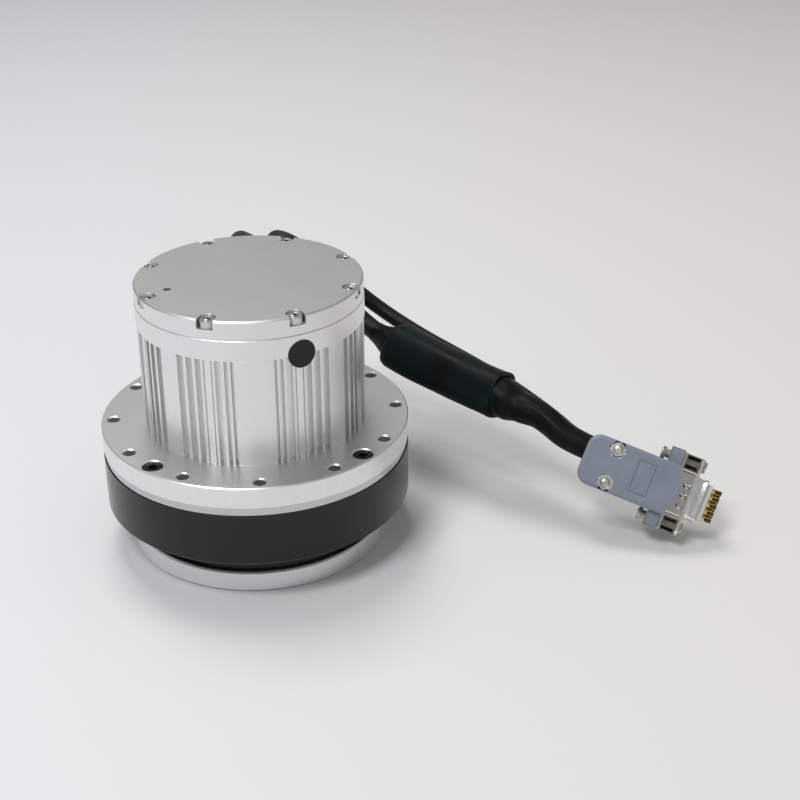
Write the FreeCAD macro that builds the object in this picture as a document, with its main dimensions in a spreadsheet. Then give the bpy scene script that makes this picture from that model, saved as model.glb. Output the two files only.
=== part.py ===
"""Strain-wave robot joint actuator, standing on its output flange, with its two leads and DE-9 plug.

Millimetres. +Z is the output axis, Z = 0 is the output flange's mounting face.
"""
import FreeCAD, Part
import math
import os

from FreeCAD import Placement, Rotation, Vector

doc = FreeCAD.newDocument("joint_actuator")
sheet = doc.addObject("Spreadsheet::Sheet", "sizes")
NODES = []


# ---------------------------------------------------------------- sizes

class Size:
    """A number together with the spreadsheet expression that it comes from."""

    def __init__(self, value, text):
        self.value = value
        self.text = text

    def join(self, other, sign):
        other = other if isinstance(other, Size) else Size(float(other), repr(float(other)))
        first, second = self.value, other.value
        value = {"+": first + second, "-": first - second, "*": first * second}.get(sign)
        if sign == "/":
            value = first / second
        return Size(value, "(%s %s %s)" % (self.text, sign, other.text))

    def __add__(self, other):
        return self.join(other, "+")

    def __sub__(self, other):
        return self.join(other, "-")

    def __mul__(self, other):
        return self.join(other, "*")

    def __truediv__(self, other):
        return self.join(other, "/")

    def __float__(self):
        return float(self.value)


def size(alias, value, meaning):
    """Put one driving size in the sheet and return it."""
    size.rows += 1
    row = size.rows
    sheet.set("A%d" % row, meaning)
    sheet.set("B%d" % row, str(value))
    sheet.setAlias("B%d" % row, alias)
    return Size(float(value), "sizes." + alias)


size.rows = 0

# Output flange and its hub
disc_radius = size("disc_radius", 49.0, "output flange radius")
disc_thickness = size("disc_thickness", 8.0, "output flange thickness")
disc_chamfer = size("disc_chamfer", 0.6, "chamfer on the output flange's rim")
pilot_radius = size("pilot_radius", 15.0, "output pilot bore radius")
pilot_depth = size("pilot_depth", 3.0, "output pilot bore depth")
hub_radius = size("hub_radius", 38.0, "seal land radius on the output hub")
hub_bore = size("hub_bore", 33.2, "inside radius of the output hub")
tool_circle = size("tool_circle", 41.0, "radius of the circle of output tool holes")
tool_hole = size("tool_hole", 2.5, "radius of an output tool hole, M5")
tool_hole_depth = size("tool_hole_depth", 7.0, "depth of an output tool hole")
tool_hole_count = size("tool_hole_count", 12, "number of output tool holes")
dowel_hole = size("dowel_hole", 2.0, "radius of an output dowel hole")

# Crossed roller bearing
roller_circle = size("roller_circle", 43.2, "radius of the roller circle")
roller_radius = size("roller_radius", 2.46, "radius of a crossed roller")
roller_length = size("roller_length", 4.8, "length of a crossed roller")
roller_count = size("roller_count", 36, "number of crossed rollers")
roller_groove = size("roller_groove", 3.6, "half diagonal of the square roller groove")
ring_split = size("ring_split", 0.15, "half gap between the two bearing rings")
cross_bearing_width = size("cross_bearing_width", 9.0, "width of the crossed roller bearing")
inner_ring_bore = size("inner_ring_bore", 37.0, "bore radius of the bearing's inner ring")
outer_ring_radius = size("outer_ring_radius", 49.2, "outer radius of the bearing's outer ring")
lock_nut_radius = size("lock_nut_radius", 41.0, "outer radius of the bearing lock nut")
lock_nut_height = size("lock_nut_height", 2.8, "height of the bearing lock nut")

# Gear case
case_height = size("case_height", 19.8, "gear case height")
case_clear = size("case_clear", 0.7, "gap between the output flange and the case nose")
nose_radius = size("nose_radius", 47.0, "outer radius of the case nose")
nose_height = size("nose_height", 8.3, "height of the case nose")
case_lip = size("case_lip", 1.6, "thickness of the lip under the bearing")
seal_radius = size("seal_radius", 44.0, "outer radius of the output seal")
seal_height = size("seal_height", 5.8, "height of the output seal")
edge_break = size("edge_break", 0.4, "small edge chamfer")

# Circular spline and flexspline
rim_step = size("rim_step", 0.4, "how far the circular spline's rim stands back from the flange")
spline_rim = size("spline_rim", 3.2, "thickness of the circular spline's rim")
spline_teeth = size("spline_teeth", 102, "teeth in the circular spline")
flex_teeth = size("flex_teeth", 100, "teeth on the flexspline")
tooth_module = size("tooth_module", 0.62, "tooth module")
tooth_addendum = size("tooth_addendum", 0.23, "height of a tooth above its pitch circle")
tooth_dedendum = size("tooth_dedendum", 0.30, "depth of a tooth below its pitch circle")
tooth_width = size("tooth_width", 8.4, "face width of the teeth")
cup_wall = size("cup_wall", 0.5, "flexspline cup wall")
cup_diaphragm = size("cup_diaphragm", 0.8, "flexspline diaphragm thickness")
cup_boss_radius = size("cup_boss_radius", 17.0, "flexspline boss radius")
cup_boss_bore = size("cup_boss_bore", 8.0, "flexspline boss bore radius")
cup_boss_height = size("cup_boss_height", 4.0, "flexspline boss height")
clamp_thickness = size("clamp_thickness", 2.5, "flexspline clamp ring thickness")
cup_bolt_circle = size("cup_bolt_circle", 12.6, "radius of the flexspline bolt circle")
cup_bolt_count = size("cup_bolt_count", 8, "number of flexspline bolts")

# Wave generator
wave_width = size("wave_width", 8.0, "width of the wave generator and its bearing")
wave_plug_radius = size("wave_plug_radius", 23.85, "wave generator plug radius")
wave_ball = size("wave_ball", 2.1, "radius of a wave bearing ball")
wave_ball_count = size("wave_ball_count", 23, "number of wave bearing balls")
wave_race = size("wave_race", 1.55, "thickness of a wave bearing race")

# Motor housing
flange_radius = size("flange_radius", 57.5, "mounting flange radius")
flange_thickness = size("flange_thickness", 8.0, "mounting flange thickness")
fin_radius = size("fin_radius", 41.3, "radius over the fins")
fin_height = size("fin_height", 40.4, "height of the finned body")
fin_depth = size("fin_depth", 2.4, "depth of a groove between fins")
body_wall = size("body_wall", 6.8, "wall of the motor housing, over the fins")
seal_seat_depth = size("seal_seat_depth", 4.4, "depth of the shaft seal's seat")
seal_seat_radius = size("seal_seat_radius", 13.0, "radius of the shaft seal's seat")
rib_depth = size("rib_depth", 0.9, "depth of a shallow rib line")
joining_hole = size("joining_hole", 2.45, "radius of a joining screw's clearance hole")
counterbore_radius = size("counterbore_radius", 3.7, "radius of a joining screw's counterbore")
counterbore_depth = size("counterbore_depth", 4.4, "depth of a joining screw's counterbore")
floor_thickness = size("floor_thickness", 14.0, "thickness of the motor housing floor")
mount_edge = size("mount_edge", 4.5, "distance of the mounting holes from the flange's rim")
mount_hole = size("mount_hole", 2.25, "radius of a mounting hole, clearance for M4")
mount_hole_count = size("mount_hole_count", 12, "number of mounting holes")
joining_edge = size("joining_edge", 4.8, "distance of the joining screws from the flange's rim")
joining_count = size("joining_count", 4, "number of joining screws")

# Rear end: drive housing and cover
band_step = size("band_step", 0.3, "how far the drive housing stands out from the fins")
band_height = size("band_height", 7.8, "height of the drive housing band")
band_wall = size("band_wall", 6.1, "wall of the drive housing's band")
spigot_step = size("spigot_step", 1.2, "how far the spigot's seat is cut into the motor housing")
spigot_height = size("spigot_height", 3.0, "height of the drive housing's spigot")
shield_thickness = size("shield_thickness", 4.0, "thickness of the drive housing's floor")
cover_step = size("cover_step", 0.2, "how far the cover stands back from the drive housing")
cover_height = size("cover_height", 7.1, "cover height")
cover_top = size("cover_top", 2.5, "cover top wall")
cover_screw_edge = size("cover_screw_edge", 2.9, "distance of the cover screws from the cover's rim")
cover_screw_count = size("cover_screw_count", 8, "number of cover screws")
notch_radius = size("notch_radius", 3.0, "half width of a screw notch in the cover")
notch_depth = size("notch_depth", 3.5, "depth of a screw notch in the cover")
light_hole = size("light_hole", 1.4, "radius of the status light hole in the cover")
outlet_wall = size("outlet_wall", 0.5, "wall of a lead outlet's sleeve in its hole")
light_edge = size("light_edge", 11.0, "distance of the status light hole from the cover's rim")
label_radius = size("label_radius", 5.2, "radius of the round inspection label")
board_gap = size("board_gap", 1.5, "gap between the drive board and the drive housing")
boss_wall = size("boss_wall", 3.5, "wall of the rear bearing's boss")

# Rotor and its ball bearings
gear_end_radius = size("gear_end_radius", 6.0, "shaft radius at the wave generator")
journal_radius = size("journal_radius", 7.5, "shaft radius at the ball bearings")
bearing_outer = size("bearing_outer", 16.0, "outer radius of a shaft bearing")
bearing_width = size("bearing_width", 9.0, "width of a shaft bearing")
bearing_ball = size("bearing_ball", 2.4, "radius of a shaft bearing ball")
bearing_ball_count = size("bearing_ball_count", 9, "balls in a shaft bearing")
rotor_seat = size("rotor_seat", 9.0, "shaft radius under the rotor core")
stack_length = size("stack_length", 18.0, "length of the stator and rotor stacks")
stator_bore = size("stator_bore", 19.6, "stator bore radius")
air_gap = size("air_gap", 0.3, "gap between the magnets and the stator")
magnet_thickness = size("magnet_thickness", 2.0, "magnet thickness")
pole_count = size("pole_count", 10, "number of rotor magnets")
slot_count = size("slot_count", 12, "number of stator teeth")
tooth_breadth = size("tooth_breadth", 6.0, "breadth of a stator tooth")
yoke = size("yoke", 4.0, "stator yoke thickness")
coil_side = size("coil_side", 1.9, "thickness of a coil side")
encoder_magnet_radius = size("encoder_magnet_radius", 4.0, "radius of the encoder magnet")

# Clearances
fit = size("fit", 0.02, "radial clearance where a ring seats in a bore")
running = size("running", 0.06, "radial clearance of a running fit")
ball_play = size("ball_play", 0.08, "clearance between balls and races")

# Leads and plug
power_lead_radius = size("power_lead_radius", 4.0, "power lead radius")
signal_lead_radius = size("signal_lead_radius", 3.1, "signal lead radius")
sleeve_radius = size("sleeve_radius", 9.2, "splice sleeve radius")
sleeve_start = size("sleeve_start", 122.0, "distance along the power lead where the sleeve starts")
sleeve_length = size("sleeve_length", 57.0, "length of the splice sleeve")
sleeve_neck = size("sleeve_neck", 5.0, "length of the inner sleeve before the splice sleeve")
sleeve_tail = size("sleeve_tail", 16.0, "length of the inner sleeve after the splice sleeve")
inner_sleeve_radius = size("inner_sleeve_radius", 6.2, "inner shrink sleeve radius")
hood_length = size("hood_length", 35.6, "length of the plug hood")
hood_half_width = size("hood_half_width", 10.0, "half width of the plug hood's body")
hood_half_depth = size("hood_half_depth", 8.6, "half thickness of the plug hood")
hood_wall = size("hood_wall", 1.2, "wall of the plug hood")
dsub_half_length = size("dsub_half_length", 15.4, "half length of a D-sub flange")
dsub_half_height = size("dsub_half_height", 6.25, "half height of a D-sub flange")
jack_spacing = size("jack_spacing", 12.5, "distance of a jackscrew from the plug's axis")

doc.recompute()

# Heights of the stack, from the output face upwards
disc_top = disc_thickness
nose_bottom = disc_top + case_clear
case_bottom = nose_bottom + nose_height
case_top = case_bottom + case_height
bearing_bottom = case_bottom + case_lip
bearing_top = bearing_bottom + cross_bearing_width
spline_top = case_top + spline_rim
flange_top = spline_top + flange_thickness
fins_top = flange_top + fin_height
band_top = fins_top + band_height
cover_face = band_top + cover_height
floor_top = spline_top + floor_thickness

# Radii that follow the flange and the fins
case_radius = flange_radius
spline_rim_radius = flange_radius - rim_step
mount_circle = flange_radius - mount_edge
joining_circle = flange_radius - joining_edge
motor_bore = fin_radius - body_wall
band_radius = fin_radius + band_step
band_bore = band_radius - band_wall
cover_radius = band_radius - cover_step
cover_circle = cover_radius - cover_screw_edge
light_circle = cover_radius - light_edge
outlet_start = band_bore + 0.5

# Radii of the strain-wave gear
spline_pitch = spline_teeth * tooth_module / 2
flex_pitch = flex_teeth * tooth_module / 2
flex_bore = flex_pitch - tooth_dedendum - 0.6
wave_outer = flex_bore - 0.05
wave_ball_circle = wave_plug_radius + 0.05 + (wave_outer - wave_plug_radius - 0.05) / 2


# ---------------------------------------------------------------- building helpers

def bind(thing, prop, amount):
    """Tie a property to its sizes, or set it where it is a plain number."""
    if isinstance(amount, Size):
        thing.setExpression(prop, amount.text)
    else:
        setattr(thing, prop, amount)


def plane(body, role):
    """The body's own origin plane of that role."""
    return [item for item in body.Origin.OriginFeatures if item.Role == role][0]


def new_sketch(body, name, role, lift=0.0):
    sketch = body.newObject("Sketcher::SketchObject", name)
    sketch.AttachmentSupport = [(plane(body, role), "")]
    sketch.MapMode = "FlatFace"
    if isinstance(lift, Size):
        sketch.setExpression("AttachmentOffset.Base.z", lift.text)
    else:
        sketch.AttachmentOffset = Placement(Vector(0, 0, lift), Rotation())
    return sketch


def hold_point(sketch, geo, end, across, up):
    """Fix one end of a line at a distance across and up from the sketch's origin."""
    import Sketcher
    for kind, amount, axis in (("DistanceX", across, -2), ("DistanceY", up, -1)):
        if abs(float(amount)) < 1e-9:
            sketch.addConstraint(Sketcher.Constraint("PointOnObject", geo, end, axis))
            continue
        index = sketch.addConstraint(Sketcher.Constraint(kind, -1, 1, geo, end, float(amount)))
        if isinstance(amount, Size):
            sketch.setExpression("Constraints[%d]" % index, amount.text)


def draw_outline(sketch, points):
    """A closed outline of straight lines through points given as sizes."""
    import Sketcher
    first = sketch.GeometryCount
    spots = [Vector(float(across), float(up), 0) for across, up in points]
    count = len(points)
    for index in range(count):
        sketch.addGeometry(Part.LineSegment(spots[index], spots[(index + 1) % count]), False)
    for index in range(count):
        following = (index + 1) % count
        sketch.addConstraint(Sketcher.Constraint("Coincident", first + index, 2, first + following, 1))
    for index, (across, up) in enumerate(points):
        hold_point(sketch, first + index, 1, across, up)


def turned(label, points, keep=True):
    """A body turned about Z from an outline of (radius, height) points."""
    body = doc.addObject("PartDesign::Body", label)
    body.Label = label
    sketch = new_sketch(body, label + "_section", "XZ_Plane")
    draw_outline(sketch, points)
    revolution = body.newObject("PartDesign::Revolution", label + "_turned")
    revolution.Profile = sketch
    revolution.ReferenceAxis = (sketch, ["V_Axis"])
    revolution.Angle = 360
    doc.recompute()
    if keep:
        NODES.append(body)
    return body


def must_change(body, before, name, wanted):
    """Stop when a cut took nothing away or a boss added nothing."""
    change = body.Shape.Volume - before
    if change * wanted <= 1e-6:
        raise RuntimeError("%s changed the volume by %g" % (name, change))


def drill(body, name, radius, circle, face, depth, count=1, start=0.0, upward=False):
    """Round holes on a circle about Z, cut down from a face, or up into it."""
    import Sketcher
    before = body.Shape.Volume
    sketch = new_sketch(body, name + "_circle", "XY_Plane", face)
    turn = math.radians(start)
    across, up = circle * math.cos(turn), circle * math.sin(turn)
    sketch.addGeometry(Part.Circle(Vector(float(across), float(up), 0), Vector(0, 0, 1), float(radius)))
    index = sketch.addConstraint(Sketcher.Constraint("Radius", 0, float(radius)))
    if isinstance(radius, Size):
        sketch.setExpression("Constraints[%d]" % index, radius.text)
    hold_point(sketch, 0, 3, across, up)
    pocket = body.newObject("PartDesign::Pocket", name)
    pocket.Profile = sketch
    pocket.Reversed = upward
    bind(pocket, "Length", depth)
    doc.recompute()
    repeat(body, pocket, sketch, count)
    must_change(body, before, name, -1)


def repeat(body, feature, sketch, count):
    """Repeat a feature around Z."""
    if int(float(count)) < 2:
        return
    pattern = body.newObject("PartDesign::PolarPattern", feature.Name + "_pattern")
    pattern.Originals = [feature]
    pattern.Axis = (sketch, ["N_Axis"])
    pattern.Angle = 360
    bind(pattern, "Occurrences", count if isinstance(count, Size) else int(count))
    body.Tip = pattern
    doc.recompute()


def mill(body, name, outlines, face, depth, count=1, upward=False):
    """Pockets of straight-sided outlines, repeated around Z."""
    before = body.Shape.Volume
    sketch = new_sketch(body, name + "_outline", "XY_Plane", face)
    for points in outlines:
        draw_outline(sketch, points)
    pocket = body.newObject("PartDesign::Pocket", name)
    pocket.Profile = sketch
    pocket.Reversed = upward
    bind(pocket, "Length", depth)
    doc.recompute()
    repeat(body, pocket, sketch, count)
    must_change(body, before, name, -1)


def break_edges(body, name, radius, height, amount):
    """Chamfer every round edge of that radius at that height."""
    names = []
    for index, edge in enumerate(body.Shape.Edges):
        round_edge = isinstance(edge.Curve, Part.Circle) and edge.Closed
        if round_edge and abs(edge.Curve.Radius - float(radius)) < 1e-4:
            if abs(edge.Curve.Center.z - float(height)) < 1e-4:
                names.append("Edge%d" % (index + 1))
    if not names:
        raise RuntimeError("no edges for " + name)
    before = body.Shape.Volume
    finished = body.Tip
    chamfer = body.newObject("PartDesign::Chamfer", name)
    chamfer.Base = (finished, names)
    bind(chamfer, "Size", amount)
    body.Tip = chamfer
    doc.recompute()
    must_change(body, before, name, -1)


def primitive(kind, name, base=(0, 0, 0), rotation=None, **sizes):
    """A Part primitive with bound sizes, set at base."""
    thing = doc.addObject("Part::" + kind, name)
    for prop, amount in sizes.items():
        bind(thing, prop, amount)
    thing.Placement = Placement(Vector(*[float(part) for part in base]), rotation or Rotation())
    for axis, part in zip("xyz", base):
        if isinstance(part, Size):
            thing.setExpression("Placement.Base." + axis, part.text)
    return thing


def boolean(kind, label, base, tool, keep=True):
    thing = doc.addObject("Part::" + kind, label)
    thing.Base = base
    thing.Tool = tool
    thing.Label = label
    doc.recompute()
    if keep:
        NODES.append(thing)
    return thing


def feature(label, shape, placement=None, keep=True):
    """A piece whose shape is worked out in code from the sheet's sizes."""
    thing = doc.addObject("Part::Feature", label)
    thing.Label = label
    thing.Shape = shape
    if placement:
        thing.Placement = placement
    if keep:
        NODES.append(thing)
    return thing


def round_bar(radius, low, high):
    return Part.makeCylinder(float(radius), float(high) - float(low), Vector(0, 0, float(low)))


def ring(outer, inner, low, high):
    return round_bar(outer, low, high).cut(round_bar(inner, float(low) - 1, float(high) + 1))


def spun(shape, angle):
    copy = shape.copy()
    copy.rotate(Vector(0, 0, 0), Vector(0, 0, 1), angle)
    return copy


def around(shape, count, start=0.0):
    """Copies of a solid around Z, as one group."""
    step = 360.0 / int(float(count))
    return Part.makeCompound([spun(shape, start + step * index) for index in range(int(float(count)))])


def moved(shape, place):
    copy = shape.copy()
    copy.Placement = place.multiply(copy.Placement)
    return copy


def hex_prism(across_flats, low, high, centre=(0, 0)):
    """A six-sided prism along Z."""
    radius = across_flats / math.sqrt(3)
    corners = [Vector(centre[0] + radius * math.cos(math.radians(60 * k)),
                      centre[1] + radius * math.sin(math.radians(60 * k)), low) for k in range(7)]
    return Part.Face(Part.makePolygon(corners)).extrude(Vector(0, 0, high - low))


def socket_screw(thread, length, head, head_height, key):
    """A socket head cap screw, head's underside at Z = 0, thread down."""
    shank = round_bar(thread, -length, 0)
    top = round_bar(head, 0, head_height)
    rim = [edge for edge in top.Edges if edge.Closed and abs(edge.CenterOfMass.z - head_height) < 1e-6]
    top = top.makeChamfer(0.1 * head, rim)
    return top.fuse(shank).cut(hex_prism(key, 0.45 * head_height, head_height + 1)).removeSplitter()


def gear_section(teeth, pitch, tip, root):
    """The closed outline of straight-flanked teeth, half tooth and half gap on the pitch circle."""
    points = []
    step = 2 * math.pi / teeth
    for index in range(teeth):
        centre = step * index
        for radius, share in ((root, -0.34), (tip, -0.14), (tip, 0.14), (root, 0.34)):
            angle = centre + share * step
            points.append(Vector(radius * math.cos(angle), radius * math.sin(angle), 0))
    points.append(points[0])
    return Part.Wire(Part.makePolygon(points))


def gear_prism(outline, low, high):
    face = Part.Face(outline)
    face.translate(Vector(0, 0, float(low)))
    return face.extrude(Vector(0, 0, float(high) - float(low)))


# ---------------------------------------------------------------- output side

def make_output_flange():
    body = turned("output_flange", [
        (Size(0, "0"), pilot_depth), (pilot_radius, pilot_depth), (pilot_radius, Size(0, "0")),
        (disc_radius - disc_chamfer, Size(0, "0")), (disc_radius, disc_chamfer),
        (disc_radius, disc_top - disc_chamfer), (disc_radius - disc_chamfer, disc_top),
        (hub_radius, disc_top), (hub_radius, bearing_bottom), (inner_ring_bore - fit, bearing_bottom),
        (inner_ring_bore - fit, bearing_top + lock_nut_height), (hub_bore, bearing_top + lock_nut_height),
        (hub_bore, disc_top + 0.6), (Size(0, "0"), disc_top + 0.6)])
    drill(body, "tool_holes", tool_hole, tool_circle, 0.0, tool_hole_depth, tool_hole_count,
          upward=True)
    drill(body, "dowel_holes", dowel_hole, tool_circle, 0.0, 6.0, 2, start=15.0, upward=True)
    drill(body, "cup_bolt_holes", 2.0, cup_bolt_circle, disc_top + 0.6, 4.6, cup_bolt_count)


def make_cross_bearing():
    middle = bearing_bottom + cross_bearing_width / 2
    reach = roller_groove - ring_split
    inner_face = roller_circle - ring_split
    outer_face = roller_circle + ring_split
    turned("cross_roller_inner_ring", [
        (inner_ring_bore, bearing_bottom), (inner_face, bearing_bottom), (inner_face, middle - reach),
        (roller_circle - roller_groove, middle), (inner_face, middle + reach),
        (inner_face, bearing_top), (inner_ring_bore, bearing_top)])
    turned("cross_roller_outer_ring", [
        (outer_ring_radius - fit, bearing_bottom), (outer_ring_radius - fit, bearing_top),
        (outer_face, bearing_top), (outer_face, middle + reach),
        (roller_circle + roller_groove, middle), (outer_face, middle - reach),
        (outer_face, bearing_bottom)])
    rollers = []
    half = float(roller_length) / 2
    count = int(float(roller_count))
    for index in range(count):
        lean = 45.0 if index % 2 else 135.0
        roller = Part.makeCylinder(float(roller_radius), 2 * half, Vector(0, 0, -half))
        roller.rotate(Vector(0, 0, 0), Vector(0, 1, 0), lean)
        roller.translate(Vector(float(roller_circle), 0, float(middle)))
        rollers.append(spun(roller, 360.0 * index / count))
    feature("cross_rollers", Part.makeCompound(rollers))
    nut = turned("bearing_lock_nut", [
        (inner_ring_bore + fit, bearing_top), (lock_nut_radius, bearing_top),
        (lock_nut_radius, bearing_top + lock_nut_height),
        (inner_ring_bore + fit, bearing_top + lock_nut_height)])
    half_slot = 2.0
    mill(nut, "spanner_slots", [[
        (lock_nut_radius - 1.6, -half_slot), (lock_nut_radius + 1.0, -half_slot),
        (lock_nut_radius + 1.0, half_slot), (lock_nut_radius - 1.6, half_slot)]],
        bearing_top + lock_nut_height, lock_nut_height, 4)


def make_flexspline():
    low = disc_top + 0.6
    teeth_top = spline_top - 0.6
    teeth_low = teeth_top - tooth_width
    tip = flex_pitch + tooth_addendum
    root = flex_pitch - tooth_dedendum
    wall_in = flex_bore - 0.25
    wall_out = wall_in + cup_wall
    body = turned("flexspline_cup", [
        (cup_boss_bore, low), (wall_out - 0.6, low), (wall_out, low + 0.6), (wall_out, teeth_low - 1.2),
        (tip, teeth_low), (tip, teeth_top), (flex_bore, teeth_top), (flex_bore, teeth_low - 0.6),
        (wall_in, teeth_low - 1.2), (wall_in, low + cup_diaphragm + 0.6),
        (wall_in - 0.6, low + cup_diaphragm), (cup_boss_radius + 1.0, low + cup_diaphragm),
        (cup_boss_radius, low + cup_boss_height), (cup_boss_bore, low + cup_boss_height)], keep=False)
    drill(body, "boss_holes", 2.15, cup_bolt_circle, low + cup_boss_height, cup_boss_height + 1.0,
          cup_bolt_count)
    outline = gear_section(int(float(flex_teeth)), float(flex_pitch), float(tip), float(root))
    gaps = round_bar(tip + 1.0, teeth_low - 1.0, teeth_top + 1.0)
    gaps = gaps.cut(gear_prism(outline, teeth_low - 1.0, teeth_top + 1.0))
    tool = feature("flexspline_gaps", gaps, keep=False)
    boolean("Cut", "flexspline", body, tool)

    clamp_low = low + cup_boss_height
    clamp = turned("flexspline_clamp_ring", [
        (cup_boss_bore, clamp_low), (cup_boss_radius, clamp_low),
        (cup_boss_radius, clamp_low + clamp_thickness), (cup_boss_bore, clamp_low + clamp_thickness)])
    drill(clamp, "clamp_holes", 2.15, cup_bolt_circle, clamp_low + clamp_thickness,
          clamp_thickness + 1.0, cup_bolt_count)
    bolt = socket_screw(1.98, 10.5, 3.5, 4.0, 3.0)
    bolt.translate(Vector(float(cup_bolt_circle), 0, float(clamp_low + clamp_thickness)))
    feature("flexspline_bolts", around(bolt, cup_bolt_count))


# ---------------------------------------------------------------- gear case and circular spline

def make_gear_case():
    shoulder = nose_bottom + seal_height + 0.6
    body = turned("gear_case", [
        (seal_radius + fit, nose_bottom), (nose_radius, nose_bottom), (nose_radius, case_bottom),
        (case_radius - edge_break, case_bottom), (case_radius, case_bottom + edge_break),
        (case_radius, case_top), (outer_ring_radius, case_top), (outer_ring_radius, bearing_bottom),
        (seal_radius - 0.4, bearing_bottom), (seal_radius - 0.4, shoulder),
        (seal_radius + fit, shoulder)])
    drill(body, "mount_holes", mount_hole, mount_circle, case_top, case_height, mount_hole_count)
    drill(body, "joining_holes", 2.02, joining_circle, case_top, 14.0, joining_count, start=45.0)
    turned("output_seal", [
        (hub_radius + running, nose_bottom + 0.6 + 2.0), (hub_radius + 1.2, nose_bottom + 0.6),
        (seal_radius, nose_bottom + 0.6), (seal_radius, nose_bottom + 0.6 + seal_height - 0.2),
        (hub_radius + 2.0, nose_bottom + 0.6 + seal_height - 0.2),
        (hub_radius + 2.0, nose_bottom + 4.0), (hub_radius + running, nose_bottom + 3.2)])


def make_circular_spline():
    tooth_low = spline_top - 8.5
    skirt_in = roller_circle + 1.4
    locate = outer_ring_radius - 0.1
    groove_low = case_top - 3.6
    groove_high = groove_low + 1.6
    tip = spline_pitch - tooth_addendum
    root = spline_pitch + tooth_dedendum
    body = turned("circular_spline_blank", [
        (tip - 0.2, tooth_low), (skirt_in, tooth_low), (skirt_in, bearing_top + 0.05),
        (locate, bearing_top + 0.05), (locate, groove_low), (locate - 1.3, groove_low),
        (locate - 1.3, groove_high), (locate, groove_high), (locate, case_top),
        (spline_rim_radius, case_top), (spline_rim_radius, spline_top), (tip - 0.2, spline_top)],
        keep=False)
    drill(body, "rim_mount_holes", mount_hole, mount_circle, spline_top, spline_rim, mount_hole_count)
    drill(body, "rim_joining_holes", joining_hole, joining_circle, spline_top, spline_rim, joining_count,
          start=45.0)
    outline = gear_section(int(float(spline_teeth)), float(spline_pitch), float(root), float(tip))
    tool = feature("circular_spline_gaps", gear_prism(outline, tooth_low - 1.0, spline_top + 1.0),
                   keep=False)
    boolean("Cut", "circular_spline", body, tool)
    primitive_ring = primitive("Torus", "case_o_ring", (0, 0, groove_low + 0.8),
                               Radius1=locate - 0.6, Radius2=0.64)
    doc.recompute()
    NODES.append(primitive_ring)


# ---------------------------------------------------------------- motor housing

def fin_grooves():
    """Grooves of one quarter, mirrored about the flat in its middle, as (centre, width) degrees."""
    half = [(10.3, 1.5), (13.3, 1.9), (17.3, 3.3), (27.5, 3.1), (32.3, 3.5), (37.7, 3.7)]
    shallow = [(20.4, 0.8), (24.3, 0.9)]
    deep = half + [(90.0 - centre, width) for centre, width in half]
    thin = shallow + [(90.0 - centre, width) for centre, width in shallow]
    return deep, thin


def groove_outline(centre, width, depth):
    """A straight-sided groove that reaches in from outside the fins."""
    turn = math.radians(centre - 90.0)
    half = math.radians(width) / 2
    inner, outer = fin_radius - depth, fin_radius + 1.0
    breadth = fin_radius * half
    corners = []
    for reach, side in ((inner, -1), (outer, -1), (outer, 1), (inner, 1)):
        across = reach * math.cos(turn) - breadth * (side * math.sin(turn))
        up = reach * math.sin(turn) + breadth * (side * math.cos(turn))
        corners.append((across, up))
    return corners


def make_motor_housing():
    seal_seat = spline_top + seal_seat_depth
    bearing_seat = seal_seat + bearing_width
    body = turned("motor_housing", [
        (seal_seat_radius, spline_top), (flange_radius - 0.1, spline_top),
        (flange_radius, spline_top + 0.1), (flange_radius, flange_top - edge_break),
        (flange_radius - edge_break, flange_top), (fin_radius, flange_top), (fin_radius, fins_top),
        (motor_bore + spigot_step, fins_top), (motor_bore + spigot_step, fins_top - spigot_height),
        (motor_bore, fins_top - spigot_height), (motor_bore, floor_top), (bearing_outer, floor_top),
        (bearing_outer, seal_seat), (seal_seat_radius, seal_seat)])
    deep, thin = fin_grooves()
    mill(body, "fin_grooves", [groove_outline(c, w, fin_depth) for c, w in deep],
         flange_top, fin_height, 4, upward=True)
    mill(body, "rib_lines", [groove_outline(c, w, rib_depth) for c, w in thin],
         flange_top, fin_height, 4, upward=True)
    drill(body, "flange_holes", mount_hole, mount_circle, flange_top, flange_thickness,
          mount_hole_count)
    drill(body, "joining_counterbores", counterbore_radius, joining_circle, flange_top,
          counterbore_depth, joining_count, start=45.0)
    drill(body, "joining_clearance", joining_hole, joining_circle, flange_top, flange_thickness,
          joining_count, start=45.0)
    drill(body, "cover_threads", 1.52, cover_circle, fins_top, 12.0, cover_screw_count, start=22.5)
    break_edges(body, "flange_hole_chamfers", mount_hole, flange_top, edge_break)
    break_edges(body, "counterbore_chamfers", counterbore_radius, flange_top, edge_break)

    screw = socket_screw(2.0, 19.0, 3.5, 4.0, 3.0)
    screw.translate(Vector(float(joining_circle), 0, float(flange_top - counterbore_depth)))
    feature("joining_screws", around(screw, joining_count, 45.0))
    turned("shaft_seal", [
        (journal_radius + running, spline_top + 1.6), (journal_radius + 0.9, spline_top + 0.4),
        (seal_seat_radius - fit, spline_top + 0.4), (seal_seat_radius - fit, spline_top + 4.2),
        (journal_radius + 1.6, spline_top + 4.2), (journal_radius + 1.6, spline_top + 3.2),
        (journal_radius + running, spline_top + 2.6)])


# ---------------------------------------------------------------- rear end

OUTLETS = [(-3.5, 0.0, power_lead_radius), (8.0, -5.5, signal_lead_radius)]


def outlet_place(offset, heading):
    """Where a lead starts inside the wall, with local +Z along the lead."""
    turn = Rotation(Vector(0, 0, 1), heading).multiply(Rotation(Vector(1, 0, 0), -90))
    return Placement(Vector(offset, float(outlet_start), float(band_top)), turn)


def outlet_cuts():
    holes = []
    for offset, heading, radius in OUTLETS:
        hole = Part.makeCylinder(float(radius + outlet_wall), 14.0, Vector(0, 0, -4.0))
        holes.append(moved(hole, outlet_place(offset, heading)))
    return Part.makeCompound(holes)


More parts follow.
